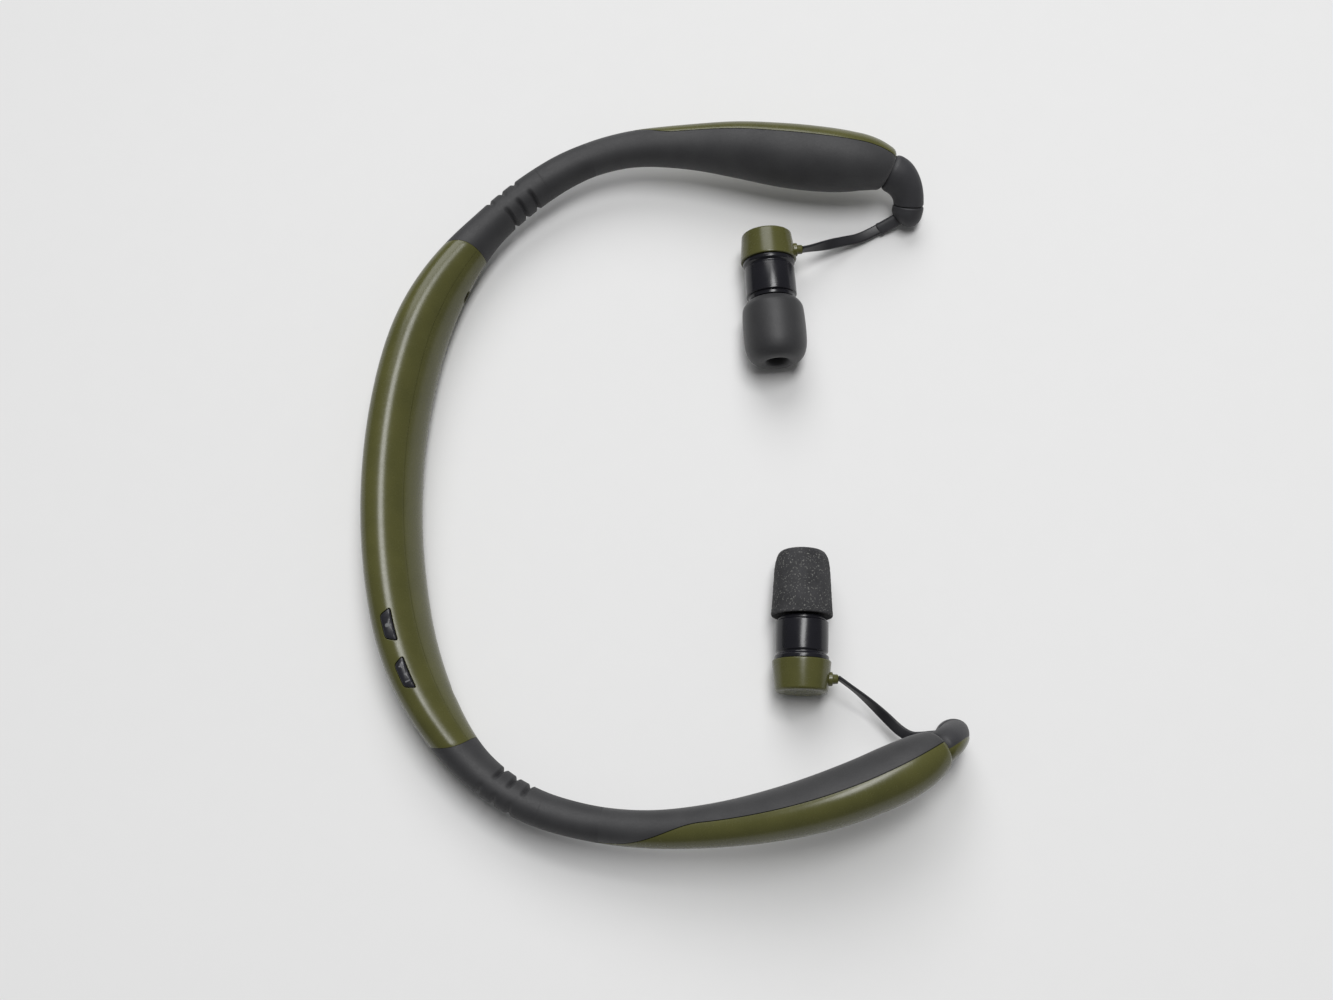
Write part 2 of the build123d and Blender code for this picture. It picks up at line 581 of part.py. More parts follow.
def sleeve_plane(side):
    """Plane at the cap's centre that looks along the cord's sleeve."""
    root, forward, out, up = hook_frame(side, 0)
    centre = hook_frame(side, CAP_CENTRE)[0]
    base = band_frame(side, DROOP_FROM)
    backward = turn(base[1], base[3] * -1, SLEEVE_ANGLE[side])
    direction = turn(backward, out * -1, SLEEVE_SWING[side])
    across = direction.cross(turn(out, backward, SLEEVE_SWING[side]))
    return Plane(origin=centre, x_dir=across, z_dir=direction)


def reel_plane(side):
    """Plane across the reel's axle, at the reel's centre."""
    centre, forward, out, up = band_frame(side, REEL_PLACE)
    return Plane(origin=centre, x_dir=forward, z_dir=out)


def ring(plane, low, high, inner, outer):
    """One turned ring of the reel, inside the active part."""
    with BuildSketch(plane.offset(low)) as shape:
        Circle(outer)
        Circle(inner, mode=Mode.SUBTRACT)
    return extrude(shape.sketch, amount=high - low, mode=Mode.PRIVATE)


def make_reel(side):
    plane = reel_plane(side)
    with BuildPart() as reel_axle:
        with BuildSketch(plane.offset(-AXLE_HALF)):
            Circle(AXLE_RADIUS)
        extrude(amount=2 * AXLE_HALF)
    save(reel_axle.part, side + "_reel_axle")

    with BuildPart() as reel_bracket:
        for low in (-BRACKET_FROM, BRACKET_FROM - BRACKET_THICK):
            with BuildSketch(plane.offset(low)):
                with Locations((-BRACKET_BACK, 0)):
                    RectangleRounded(BRACKET_LENGTH, BRACKET_WIDTH, BRACKET_ROUND)
                Circle(AXLE_RADIUS + AXLE_GAP, mode=Mode.SUBTRACT)
            extrude(amount=BRACKET_THICK)
        with BuildSketch(plane.offset(-BRACKET_FROM)):
            with Locations((-WEB_BACK, 0)):
                Rectangle(WEB_THICK, WEB_WIDTH)
        extrude(amount=2 * BRACKET_FROM)
    save(reel_bracket.part, side + "_reel_bracket")

    with BuildPart() as reel_spool:
        add(ring(plane, -SPOOL_HALF, SPOOL_HALF, SPOOL_BORE, SPOOL_CORE))
        add(ring(plane, -SPOOL_HALF, -SPOOL_HALF + FLANGE_THICK, SPOOL_BORE, SPOOL_FLANGE))
        add(ring(plane, SPOOL_HALF - FLANGE_THICK, SPOOL_HALF, SPOOL_BORE, SPOOL_FLANGE))
    save(reel_spool.part, side + "_reel_spool")

    wound_half = SPOOL_HALF - FLANGE_THICK - WOUND_GAP
    with BuildPart() as wound_cord:
        add(ring(plane, -wound_half, wound_half, SPOOL_CORE + WOUND_GAP, WOUND_RADIUS))
    save(wound_cord.part, side + "_wound_cord")

    with BuildPart() as clock_spring:
        with BuildSketch(plane.offset(SPRING_FROM)):
            with BuildLine():
                for index in range(SPRING_TURNS):
                    centre_x, first = (0, 0) if index % 2 == 0 else (SPRING_STEP, 180)
                    CenterArc((centre_x, 0), SPRING_START + index * SPRING_STEP, first, 180)
            trace(line_width=SPRING_STRIP)
        extrude(amount=SPRING_HEIGHT)
    save(clock_spring.part, side + "_clock_spring")


# ---------------------------------------------------------------- buds

def bud_plane(side):
    """Plane through the bud's axis: x is the radius, y runs from the closed end to the tip."""
    x, y = BUD_END[side]
    angle = math.radians(BUD_TIP_ANGLE[side])
    axis = Vector(math.cos(angle), math.sin(angle), 0)
    return Plane(origin=(x, y, BUD_AXIS_HEIGHT[side]), x_dir=axis.cross(Vector(0, 0, 1)), z_dir=(0, 0, 1))


def bud_axis(side):
    plane = bud_plane(side)
    return Axis(plane.origin, plane.y_dir)


def revolved(side, points):
    """A ring turned about the bud's axis from a closed outline of (radius, distance) points."""
    with BuildSketch(bud_plane(side)) as outline:
        with BuildLine():
            Polyline(*points, close=True)
        make_face()
    return revolve(outline.sketch, axis=bud_axis(side), mode=Mode.PRIVATE)


def boss_direction(side):
    """The boss stands out towards +X."""
    plane = bud_plane(side)
    return plane.x_dir if plane.x_dir.X > 0 else plane.x_dir * -1


def make_bud(side):
    plane = bud_plane(side)
    with BuildPart() as bud_cap:
        add(revolved(side, [
            (0, 0), (CAP_END_RADIUS - CAP_ROUND, 0), (CAP_END_RADIUS, CAP_ROUND), (CAP_RADIUS, CAP_LENGTH),
            (CAP_RADIUS - CAP_WALL, CAP_LENGTH), (CAP_END_RADIUS - CAP_WALL, CAP_FLOOR), (0, CAP_FLOOR),
        ]))
        pin_foot = plane.origin + plane.y_dir * BOSS_PLACE[side]
        with BuildSketch(Plane(origin=pin_foot, z_dir=boss_direction(side))):
            Circle(BOSS_PIN + PIN_GAP)
        extrude(amount=CAP_RADIUS + 1.0, mode=Mode.SUBTRACT)
    save(bud_cap.part, side + "_bud_cap")

    collar_radius = BARREL_RADIUS - COLLAR_DOWN
    with BuildPart() as bud_barrel:
        add(revolved(side, [
            (BARREL_BORE, BARREL_FROM), (TAIL_RADIUS - 0.3, BARREL_FROM), (TAIL_RADIUS, CAP_LENGTH),
            (TAIL_RADIUS, COLLAR_FROM), (collar_radius, COLLAR_FROM), (collar_radius, COLLAR_TO),
            (BARREL_RADIUS, COLLAR_TO), (BARREL_RADIUS, BARREL_TO - CAP_ROUND),
            (BARREL_RADIUS - CAP_ROUND, BARREL_TO),
            (NOZZLE_RADIUS, BARREL_TO), (NOZZLE_RADIUS, NOZZLE_TO), (NOZZLE_BORE, NOZZLE_TO),
            (NOZZLE_BORE, BARREL_TO - BARREL_FLOOR), (BARREL_BORE, BARREL_TO - BARREL_FLOOR),
        ]))
    save(bud_barrel.part, side + "_bud_barrel")

    with BuildPart() as bud_driver:
        add(revolved(side, DRIVER))
    save(bud_driver.part, side + "_bud_driver")

    with BuildPart() as nozzle_screen:
        low, high = NOZZLE_TO - SCREEN_DEPTH, NOZZLE_TO - SCREEN_DEPTH + SCREEN_THICK
        screen_radius = NOZZLE_BORE - SEAT_GAP
        add(revolved(side, [(0, low), (screen_radius, low), (screen_radius, high), (0, high)]))
    save(nozzle_screen.part, side + "_nozzle_screen")

    local_radius = CAP_END_RADIUS + (CAP_RADIUS - CAP_END_RADIUS) * BOSS_PLACE[side] / CAP_LENGTH
    foot = plane.origin + plane.y_dir * BOSS_PLACE[side] + boss_direction(side) * (local_radius - BOSS_INTO)
    boss_plane = Plane(origin=foot, z_dir=boss_direction(side))
    with BuildPart() as cord_boss:
        with BuildSketch(boss_plane):
            Circle(COLLAR_RADIUS)
        extrude(amount=COLLAR_LENGTH)
        with BuildSketch(boss_plane):
            Circle(BOSS_RADIUS)
        extrude(amount=BOSS_LENGTH + BOSS_INTO)
        with BuildSketch(boss_plane):
            Circle(BOSS_PIN)
        extrude(amount=-BOSS_PIN_LENGTH)
    save(cord_boss.part, side + "_cord_boss")

    wide, end = FOAM_WIDE[side], FOAM_END[side]
    with BuildPart() as foam_tip:
        with BuildSketch(plane) as outline:
            with BuildLine():
                base = Line((FOAM_BORE, FOAM_FROM), (FOAM_BASE[side], FOAM_FROM))
                flank = Spline(
                    base @ 1, (wide, FOAM_FROM + FOAM_SHOULDERS[0]),
                    (wide - 0.05, FOAM_TO - FOAM_SHOULDERS[1]), (end, FOAM_TO),
                    tangents=((0.2, 1), (-1, 0.12)),
                )
                mouth = Line(flank @ 1, (FOAM_BORE, FOAM_TO))
                Line(mouth @ 1, base @ 0)
            make_face()
        revolve(axis=bud_axis(side))
    save(foam_tip.part, side + "_foam_tip")


for side in SIDES:
    make_neck(side)
    make_arm(side)
    make_hook(side)
    make_reel(side)
    make_bud(side)

# ---------------------------------------------------------------- cords

# Each cord runs down its hook, out of its sleeve and over the table to the bud's boss.

def make_cord(side):
    route = [Vector(*point) for point in CORD_ROUTE[side]]
    radii = []
    for before, point, after in zip(route, route[1:], route[2:]):
        half_turn = math.radians((point - before).get_angle(after - point)) / 2
        shorter = min((point - before).length, (after - point).length)
        radii.append(RUN_SHARE * shorter / math.tan(half_turn))
    with BuildPart() as bud_cord:
        with BuildLine() as path:
            FilletPolyline(*route, radius=radii)
        with BuildSketch(Plane(origin=path.line @ 0, z_dir=path.line % 0)):
            Circle(CORD_RADIUS)
        sweep()
    length = path.wires()[0].length
    expected = math.pi * CORD_RADIUS**2 * length
    print(side, "cord radii", [round(radius, 1) for radius in radii], "length", round(length, 2),
          "volume", round(bud_cord.part.volume, 2), "of", round(expected, 2))
    save(bud_cord.part, side + "_bud_cord")


for side in SIDES:
    make_cord(side)
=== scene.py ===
import bmesh
import bpy
import functools
import math
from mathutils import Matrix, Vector, noise


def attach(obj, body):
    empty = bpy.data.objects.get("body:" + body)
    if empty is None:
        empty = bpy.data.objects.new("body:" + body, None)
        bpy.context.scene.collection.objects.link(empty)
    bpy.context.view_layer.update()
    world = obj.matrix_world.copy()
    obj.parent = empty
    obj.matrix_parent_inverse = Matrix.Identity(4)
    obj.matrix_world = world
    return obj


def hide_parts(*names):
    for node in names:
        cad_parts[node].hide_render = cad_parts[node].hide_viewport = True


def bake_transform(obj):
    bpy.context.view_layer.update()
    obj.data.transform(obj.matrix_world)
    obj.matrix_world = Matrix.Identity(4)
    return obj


# Looks of a behind-the-neck wireless headset with two reeled earbuds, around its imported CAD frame.
# Shapes are worked out in millimetres and made in metres. Angles are in degrees, counted round the band's
# section from straight outward towards straight upward.

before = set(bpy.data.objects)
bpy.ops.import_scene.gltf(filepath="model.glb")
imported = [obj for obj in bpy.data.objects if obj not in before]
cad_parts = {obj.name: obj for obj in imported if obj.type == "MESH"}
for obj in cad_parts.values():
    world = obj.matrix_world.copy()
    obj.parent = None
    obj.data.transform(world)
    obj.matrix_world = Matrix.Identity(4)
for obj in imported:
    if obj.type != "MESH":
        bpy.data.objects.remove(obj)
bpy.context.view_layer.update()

MM = 0.001
SIDES = ("left", "right")
MIRROR = {"left": 1, "right": -1}

# ---- driving sizes, as in the CAD

POD_MIDDLE = (-59.8, -3.7)
POD_ARCS = ((30, 138), (30, 70.7))
ARM_ARCS = {
    "left": ((26, 74.6), (25, 44.3), (25, 139), (32, -239)),
    "right": ((26.9, 42.7), (25.9, 75.3), (25.9, 128.3), (33.1, 111.4)),
}
POD_END = 60
ARM_STRETCH = {"left": 1.0, "right": 1.045}
POD_HEIGHT = 8.0
ARM_RISE = {"left": 3.1, "right": 7.9}
RISE_FROM, RISE_TO = 66, 150
POD_ROLL = 30
ARM_ROLL = {"left": 52, "right": 9}
ROLL_FROM, ROLL_TO = 62, 108
DROOP_FROM, DROOP_RADIUS = 158, 20
SECTIONS = (
    (0, 5.6, 8.35), (20, 5.55, 8.3), (30, 5.5, 8.1), (40, 5.3, 7.65), (50, 4.85, 6.7), (60, 4.3, 5.4),
    (66, 3.95, 4.75), (72, 3.8, 4.5), (80, 3.8, 4.3), (90, 3.75, 4.1), (96, 3.75, 4.0),
    (107, 4.0, 4.3), (119, 4.6, 5.2), (131, 5.4, 6.6), (142, 6.0, 7.45), (150, 6.2, 7.5),
    (156, 6.2, 7.1), (162, 5.6, 6.1), (166, 4.5, 4.9),
)
POD_SEAM_TOP, POD_SEAM_BOTTOM = 162, -82
POD_WALL, ARM_WALL, NECK_WALL = 1.3, 1.1, 1.3
FLEX_TO, NECK_TO, ARM_END = 83, 95.8, 166

# The pod's end is cut on a slant: it stops short on its outer side, and runs further on the right.
JUNCTION_SHIFT = {"left": 0.0, "right": 2.1}
JUNCTION_DIP, JUNCTION_POWER = 3.8, 2.5

POWER_AT, VOLUME_AT = -32.6, -43.3
BUTTON_LENGTH, BUTTON_TAPER = 7.3, 1.3
BUTTON_ANGLE, BUTTON_LOW, BUTTON_HIGH = 107, 95, 119
PORT_FROM, PORT_TO, PORT_ANGLE, PORT_SPREAD = 22, 33, 38, 21
PORT_GAP, PORT_HINGE_GAP = 0.18, 0.6
SCREW_PLACES, SCREW_ANGLE = (-50, 50), 225
MIC_PLACE, MIC_ANGLE = -21, 8

HOOK_RADIUS = {"left": 8.5, "right": 10.0}
HOOK_LENGTH, CAP_CENTRE = 10.2, 12.4
CAP_END = {"left": 14.9, "right": 15.8}
SLEEVE_ANGLE = {"left": 146, "right": 173}
SLEEVE_SWING = {"left": 0, "right": 21}
SLEEVE_LENGTH = {"left": 7.4, "right": 6.2}

BUD_END = {"left": (24.4, 57.0), "right": (30.4, -49.7)}
BUD_TIP_ANGLE = {"left": -86.2, "right": 88.4}
BUD_AXIS_HEIGHT = {"left": 7.45, "right": 6.85}
CAP_RADIUS, CAP_END_RADIUS, CAP_LENGTH = 6.45, 5.75, 6.8
BOSS_PLACE = {"left": 4.2, "right": 3.1}
BARREL_RADIUS, BARREL_TO, NOZZLE_RADIUS, NOZZLE_BORE, NOZZLE_TO = 5.8, 16.4, 2.15, 1.2, 29.4

# Cord routes, in metres: the control points of each cord's line, from inside the hook to the bud.
CORD_ROUTE = {
    "left": (
        (0.0490, 0.0731, 0.0108), (0.0531, 0.0722, 0.0103), (0.0566, 0.0706, 0.0089),
        (0.0587, 0.0672, 0.0064), (0.0578, 0.0637, 0.0039), (0.0544, 0.0624, 0.0025),
        (0.0509, 0.0609, 0.0016), (0.0468, 0.0586, 0.0017), (0.0421, 0.0571, 0.0032),
        (0.0374, 0.0550, 0.0055), (0.0331, 0.0534, 0.0074),
    ),
    "right": (
        (0.0545, -0.0651, 0.0155), (0.0582, -0.0629, 0.0146), (0.0612, -0.0607, 0.0124),
        (0.0628, -0.0595, 0.0099), (0.0628, -0.0591, 0.0072), (0.0615, -0.0588, 0.0052),
        (0.0591, -0.0587, 0.0041), (0.0566, -0.0590, 0.0043), (0.0540, -0.0591, 0.0046),
        (0.0515, -0.0576, 0.0047), (0.0490, -0.0550, 0.0046), (0.0456, -0.0518, 0.0051),
        (0.0421, -0.0490, 0.0061), (0.0389, -0.0468, 0.0068),
    ),
}
SLEEVE_MOUTH = {"left": 6, "right": 8}       # the route's point at the sleeve's mouth
RIBBON_WIDTH, RIBBON_THICK = 2.4, 0.7
RIBBON_IN_BOSS = 0.7
# The ribbon's turn about its line: first and last degrees, and the shares of its free length between them.
RIBBON_TWIST = {"left": (12, 84, 0.45, 1.0), "right": (20, 86, 0.1, 0.9)}

# Camera and light.
CAMERA_TARGET = Vector((0.00124, -0.00479, 0))
CAMERA_DISTANCE, CAMERA_ELEVATION, CAMERA_LENS = 0.38, 75, 45.2
BOX_AT, BOX_SIZE, BOX_POWER = (0.10, 0.20, 1.0), (0.30, 0.55), 6.2
SKY_TOWARD, SKY_ENERGY, SKY_ANGLE = (0.10, -0.72, -0.69), 1.5, 40
WORLD_STRENGTH, FLOOR_REACH = 0.14, 4.0


# ---- centre line and sections

def ease(value, start, end):
    """0 before start, 1 after end, and smooth between them."""
    t = min(max((value - start) / (end - start), 0), 1)
    return t * t * (3 - 2 * t)


def mix(first, second, share):
    return first + (second - first) * share


def steps(start, end, count):
    return [start + (end - start) * i / count for i in range(count + 1)]


def circle(count):
    """Angles all the way round, in radians."""
    return [2 * math.pi * i / count for i in range(count)]


def turn(first, second, degrees):
    """The vector that lies degrees from first towards second."""
    angle = math.radians(degrees)
    return first * math.cos(angle) + second * math.sin(angle)


def plan_point(side, place):
    """X, Y and heading of the centre line in plan, as if on the left side."""
    left_over = place if place <= POD_END else POD_END + (place - POD_END) * ARM_STRETCH[side]
    x, y, heading = 0.0, 0.0, math.pi / 2
    arcs = POD_ARCS + ARM_ARCS[side]
    for index, (length, radius) in enumerate(arcs):
        step = left_over if index == len(arcs) - 1 else min(left_over, length)
        turned = heading - step / radius
        x += radius * (math.sin(heading) - math.sin(turned))
        y += radius * (math.cos(turned) - math.cos(heading))
        heading = turned
        left_over -= step
        if left_over <= 0:
            break
    return x, y, heading


@functools.lru_cache(maxsize=None)
def band_frame(side, place):
    """Centre, forward, outward and upward directions of the band at a place."""
    x, y, heading = plan_point(side, place)
    rise = ARM_RISE[side] * ease(place, RISE_FROM, RISE_TO)
    step = 0.1
    ahead = ARM_RISE[side] * ease(place + step, RISE_FROM, RISE_TO)
    flip = MIRROR[side]
    centre = Vector((POD_MIDDLE[0] + x, POD_MIDDLE[1] + flip * y, POD_HEIGHT + rise))
    flat = Vector((math.cos(heading), flip * math.sin(heading), 0))
    outward = Vector((-math.sin(heading), flip * math.cos(heading), 0))
    climb = math.degrees(math.atan((ahead - rise) / step))
    forward = turn(flat, Vector((0, 0, 1)), climb)
    upright = turn(Vector((0, 0, 1)), -flat, climb)
    roll = mix(POD_ROLL, ARM_ROLL[side], ease(place, ROLL_FROM, ROLL_TO))
    up = turn(upright, outward, roll)
    out = turn(outward, -upright, roll)
    past = max(place - DROOP_FROM, 0)
    dip = math.degrees(math.atan(past / DROOP_RADIUS))
    centre = centre - up * (past * past / (2 * DROOP_RADIUS))
    return centre, turn(forward, -up, dip), out, turn(up, forward, dip)


@functools.lru_cache(maxsize=None)
def hook_frame(side, past):
    """The same four on the hook, at a distance past the arm's end."""
    centre, forward, out, up = band_frame(side, ARM_END + min(past, 0))
    if past <= 0:
        return centre, forward, out, up
    radius = HOOK_RADIUS[side]
    bend = math.degrees(past / radius)
    away = turn(up, forward, bend)
    return centre + (away - up) * radius, turn(forward, -up, bend), out, away


@functools.lru_cache(maxsize=None)
def half_sizes(place):
    """Half sizes of the oval at a place, on a smooth curve through SECTIONS."""
    place = min(abs(place), SECTIONS[-1][0])
    rows = [(-row[0], row[1], row[2]) for row in SECTIONS[2:0:-1]] + list(SECTIONS)
    index = max(i for i in range(len(rows) - 1) if rows[i][0] <= place)
    before, first, second = rows[max(index - 1, 0)], rows[index], rows[index + 1]
    after = rows[min(index + 2, len(rows) - 1)]
    span = second[0] - first[0]
    t = (place - first[0]) / span
    sizes = []
    for k in (1, 2):
        slope_in = (second[k] - before[k]) / (second[0] - before[0]) * span
        slope_out = (after[k] - first[k]) / (after[0] - first[0]) * span
        sizes.append(
            first[k] * (2 * t**3 - 3 * t**2 + 1) + slope_in * (t**3 - 2 * t**2 + t)
            + second[k] * (3 * t**2 - 2 * t**3) + slope_out * (t**3 - t**2)
        )
    return tuple(sizes)


def on_oval(axes, half_out, half_up, angle):
    """Point of an oval across the band."""
    centre, forward, out, up = axes
    t = math.radians(angle)
    return centre + out * (half_out * math.cos(t)) + up * (half_up * math.sin(t))


def spot(side, place, angle, depth=0.0):
    """Point of an arm or neck at an angle, and at a depth under its surface."""
    half_out, half_up = half_sizes(place)
    return on_oval(band_frame(side, place), half_out - depth, half_up - depth, angle)


def pod_side(place):
    """Places on the pod run from its right end, which is negative, to its left end."""
    return "left" if place >= 0 else "right"


def pod_spot(place, angle, depth=0.0):
    return spot(pod_side(place), abs(place), angle, depth)


def junction(side, angle):
    """Place of the edge between pod and neck at an angle."""
    outer = (1 + math.cos(math.radians(angle - POD_ROLL))) / 2
    return POD_END + JUNCTION_SHIFT[side] - JUNCTION_DIP * outer**JUNCTION_POWER


def surface_axes(place, angle):
    """Point on the pod's surface, direction along the band, direction across it, and outward normal."""
    side, place = pod_side(place), abs(place)
    point = spot(side, place, angle)
    along = (spot(side, place + 0.2, angle) - spot(side, place - 0.2, angle)).normalized()
    around = (spot(side, place, angle + 1) - spot(side, place, angle - 1)).normalized()
    normal = along.cross(around).normalized()
    if normal.dot(point - band_frame(side, place)[0]) < 0:
        normal = -normal
    return point, along, normal.cross(along), normal


# ---- mesh making

def link(thing):
    bpy.context.scene.collection.objects.link(thing)


def make_object(name, points, faces, sharp=35):
    """A mesh piece from points in millimetres, smooth except at edges sharper than an angle."""
    mesh = bpy.data.meshes.new(name)
    mesh.from_pydata([tuple(point * MM) for point in points], [], faces)
    piece = bpy.data.objects.new(name, mesh)
    link(piece)
    clean(piece)
    smooth(piece, sharp)
    return piece


def clean(piece):
    """Joins doubled points and turns all faces outward."""
    made = bmesh.new()
    made.from_mesh(piece.data)
    bmesh.ops.remove_doubles(made, verts=made.verts, dist=0.002 * MM)
    bmesh.ops.recalc_face_normals(made, faces=made.faces)
    made.to_mesh(piece.data)
    made.free()


def smooth(piece, sharp=35):
    piece.data.polygons.foreach_set("use_smooth", [True] * len(piece.data.polygons))
    piece.data.set_sharp_from_angle(angle=math.radians(sharp))


def grid(rows, wrap_rows=False):
    """Points and faces of closed rings, each joined to the next. With wrap_rows the last joins the first."""
    count = len(rows[0])
    points = [point for row in rows for point in row]
    faces = []
    last = len(rows) if wrap_rows else len(rows) - 1
    for i in range(last):
        here, there = i * count, (i + 1) % len(rows) * count
        for j in range(count):
            k = (j + 1) % count
            faces.append((here + j, here + k, there + k, there + j))
    return points, faces


def tube(name, rows, sharp=35):
    """A solid skinned over closed rings, with both ends filled."""
    points, faces = grid(rows)
    count = len(rows[0])
    faces.append(tuple(range(count)))
    faces.append(tuple(range((len(rows) - 1) * count, len(rows) * count)))
    return make_object(name, points, faces, sharp)


def pipe(name, rows, sharp=35):
    """A hollow solid: the rings run along the outside and back along the inside."""
    points, faces = grid(rows, wrap_rows=True)
    return make_object(name, points, faces, sharp)


def channel(name, rows):
    """An open shell: each ring runs along the outer face and back along the inner one."""
    points, faces = grid(rows)
    count = len(rows[0])
    for start in (0, (len(rows) - 1) * count):
        for j in range(count // 2 - 1):
            faces.append((start + j, start + j + 1, start + count - 2 - j, start + count - 1 - j))
    return make_object(name, points, faces)


def shell_ring(place_of, low, high, wall, edge, sink, count, point_at):
    """One ring of an open shell between two angles, let in by sink, its edges bevelled underneath."""
    half_out, half_up = half_sizes(place_of((low + high) / 2))
    spare = math.degrees(edge / ((half_out + half_up) / 2))
    shares = [1 - math.sin(math.pi / 8 * i) for i in range(4)]
    low_edge = [(low + spare * share, edge * share) for share in shares]
    high_edge = [(high - (angle - low), depth) for angle, depth in reversed(low_edge)]
    outer = low_edge + [(angle, 0.0) for angle in steps(low + spare, high - spare, count)] + high_edge
    ring = []
    for angle, depth in outer:
        ring.append(point_at(place_of(angle), angle, min(depth + sink, wall - 0.1)))
    for angle, depth in reversed(outer):
        ring.append(point_at(place_of(angle), angle, wall))
    return ring


def end_rows(start, end, count, rounding):
    """Places from start to end with the depth that rounds off both ends."""
    bends = [math.pi / 8 * i for i in range(4)]
    tips = [(rounding * (1 - math.cos(bend)), rounding * (1 - math.sin(bend))) for bend in bends]
    rows = [(start + step, depth) for step, depth in tips]
    rows += [(place, 0.0) for place in steps(start + rounding, end - rounding, count)]
    return rows + [(end - step, depth) for step, depth in reversed(tips)]


def evaluated(piece):
    """Replaces a piece's mesh by what its modifiers make of it."""
    bpy.context.view_layer.update()
    mesh = bpy.data.meshes.new_from_object(piece.evaluated_get(bpy.context.evaluated_depsgraph_get()))
    piece.modifiers.clear()
    piece.data = mesh


def cut(piece, *cutters):
    """Takes the cutters out of a piece."""
    for cutter in cutters:
        modifier = piece.modifiers.new("cut", "BOOLEAN")
        modifier.operation = "DIFFERENCE"
        modifier.solver = "EXACT"
        modifier.object = cutter
    evaluated(piece)
    for cutter in cutters:
        bpy.data.objects.remove(cutter)
    smooth(piece)


def join(piece, *others):
    """Adds the other meshes to a piece, as separate shells of it."""
    made = bmesh.new()
    made.from_mesh(piece.data)
    for other in others:
        made.from_mesh(other.data)
        bpy.data.objects.remove(other)
    made.to_mesh(piece.data)
    made.free()
    smooth(piece)


def disc_rows(centre, across, up, axis, profile, count=32):
    """Rings about an axis from (radius, distance) pairs."""
    rows = []
    for radius, distance in profile:
        rows.append([
            centre + axis * distance + (across * math.cos(a) + up * math.sin(a)) * radius
            for a in circle(count)
        ])
    return rows


def rounded(outline, radius, count=4):
    """A closed outline of (x, y) pairs with its corners rounded."""
    made = []
    for index, corner in enumerate(outline):
        here = Vector(corner)
        before = Vector(outline[index - 1]) - here
        after = Vector(outline[(index + 1) % len(outline)]) - here
        reach = min(radius, 0.45 * before.length, 0.45 * after.length)
        start, end = here + before.normalized() * reach, here + after.normalized() * reach
        for t in steps(0, 1, count):
            point = start * (1 - t) ** 2 + here * (2 * t * (1 - t)) + end * t**2
            made.append((point.x, point.y))
    return made


def divided(outline, longest):
    """A closed outline with no side longer than a length."""
    made = []
    for index, corner in enumerate(outline):
        here, there = Vector(corner), Vector(outline[(index + 1) % len(outline)])
        parts = max(1, math.ceil((there - here).length / longest))
        for i in range(parts):
            point = here.lerp(there, i / parts)
            made.append((point.x, point.y))
    return made


def pillow(name, outline, levels, place_point):
    """A key or cover on a curved surface: shrunk copies of its outline, each at a depth, and filled."""
    middle = Vector((sum(x for x, y in outline) / len(outline), sum(y for x, y in outline) / len(outline)))
    rows = []
    for inset, depth in levels:
        row = []
        for corner in outline:
            point = Vector(corner)
            reach = (point - middle).length
            moved = middle + (point - middle) * max(0.0, 1 - inset / reach)
            row.append(place_point(moved.x, moved.y, depth))
        rows.append(row)
    return tube(name, rows)


# ---- materials

def add_noise(tree, coordinates, scale, detail, roughness=0.5):
    node = tree.nodes.new("ShaderNodeTexNoise")
    node.inputs["Scale"].default_value = scale
    node.inputs["Detail"].default_value = detail
    node.inputs["Roughness"].default_value = roughness
    tree.links.new(coordinates, node.inputs["Vector"])
    return node.outputs["Fac"]


def add_range(tree, value, low, high, from_low=0.3, from_high=0.7):
    node = tree.nodes.new("ShaderNodeMapRange")
    for key, number in (("From Min", from_low), ("From Max", from_high), ("To Min", low), ("To Max", high)):
        node.inputs[key].default_value = number
    tree.links.new(value, node.inputs["Value"])
    return node.outputs["Result"]


def add_mix(tree, factor, first, second):
    node = tree.nodes.new("ShaderNodeMix")
    node.data_type = "RGBA"
    tree.links.new(factor, node.inputs["Factor"])
    for key, colour in (("A", first), ("B", second)):
        if isinstance(colour, tuple):
            node.inputs[key].default_value = (*colour, 1)
        else:
            tree.links.new(colour, node.inputs[key])
    return node.outputs["Result"]


def moulded(name, dark, light, rough, grain, bump, speckle=None, **sockets):
    """A moulded surface with a mottled colour, uneven roughness and a fine grain.
    dark and light are the two colours, rough the two roughnesses, grain the grains in a metre and bump their
    height in micrometres. speckle is (colour, spots in a metre, share)."""
    material = bpy.data.materials.new(name)
    material.use_nodes = True
    tree = material.node_tree
    tree.nodes.clear()
    output = tree.nodes.new("ShaderNodeOutputMaterial")
    shader = tree.nodes.new("ShaderNodeBsdfPrincipled")
    tree.links.new(shader.outputs["BSDF"], output.inputs["Surface"])
    where = tree.nodes.new("ShaderNodeTexCoord").outputs["Object"]
    mottle = add_noise(tree, where, 160, 4)
    fine = add_noise(tree, where, grain, 3, 0.6)
    colour = add_mix(tree, add_range(tree, mottle, 0, 1), dark, light)
    if speckle:
        spot_colour, spots, share = speckle
        flecks = add_range(tree, add_noise(tree, where, spots, 2), 0, 1, 1 - share - 0.06, 1 - share)
        colour = add_mix(tree, flecks, colour, spot_colour)
    tree.links.new(colour, shader.inputs["Base Color"])
    tree.links.new(add_range(tree, fine, *rough), shader.inputs["Roughness"])
    relief = tree.nodes.new("ShaderNodeBump")
    relief.inputs["Strength"].default_value = 1.0
    relief.inputs["Distance"].default_value = bump * 0.000001
    tree.links.new(fine, relief.inputs["Height"])
    tree.links.new(relief.outputs["Normal"], shader.inputs["Normal"])
    for socket, value in sockets.items():
        shader.inputs[socket.replace("_", " ")].default_value = value
    return material


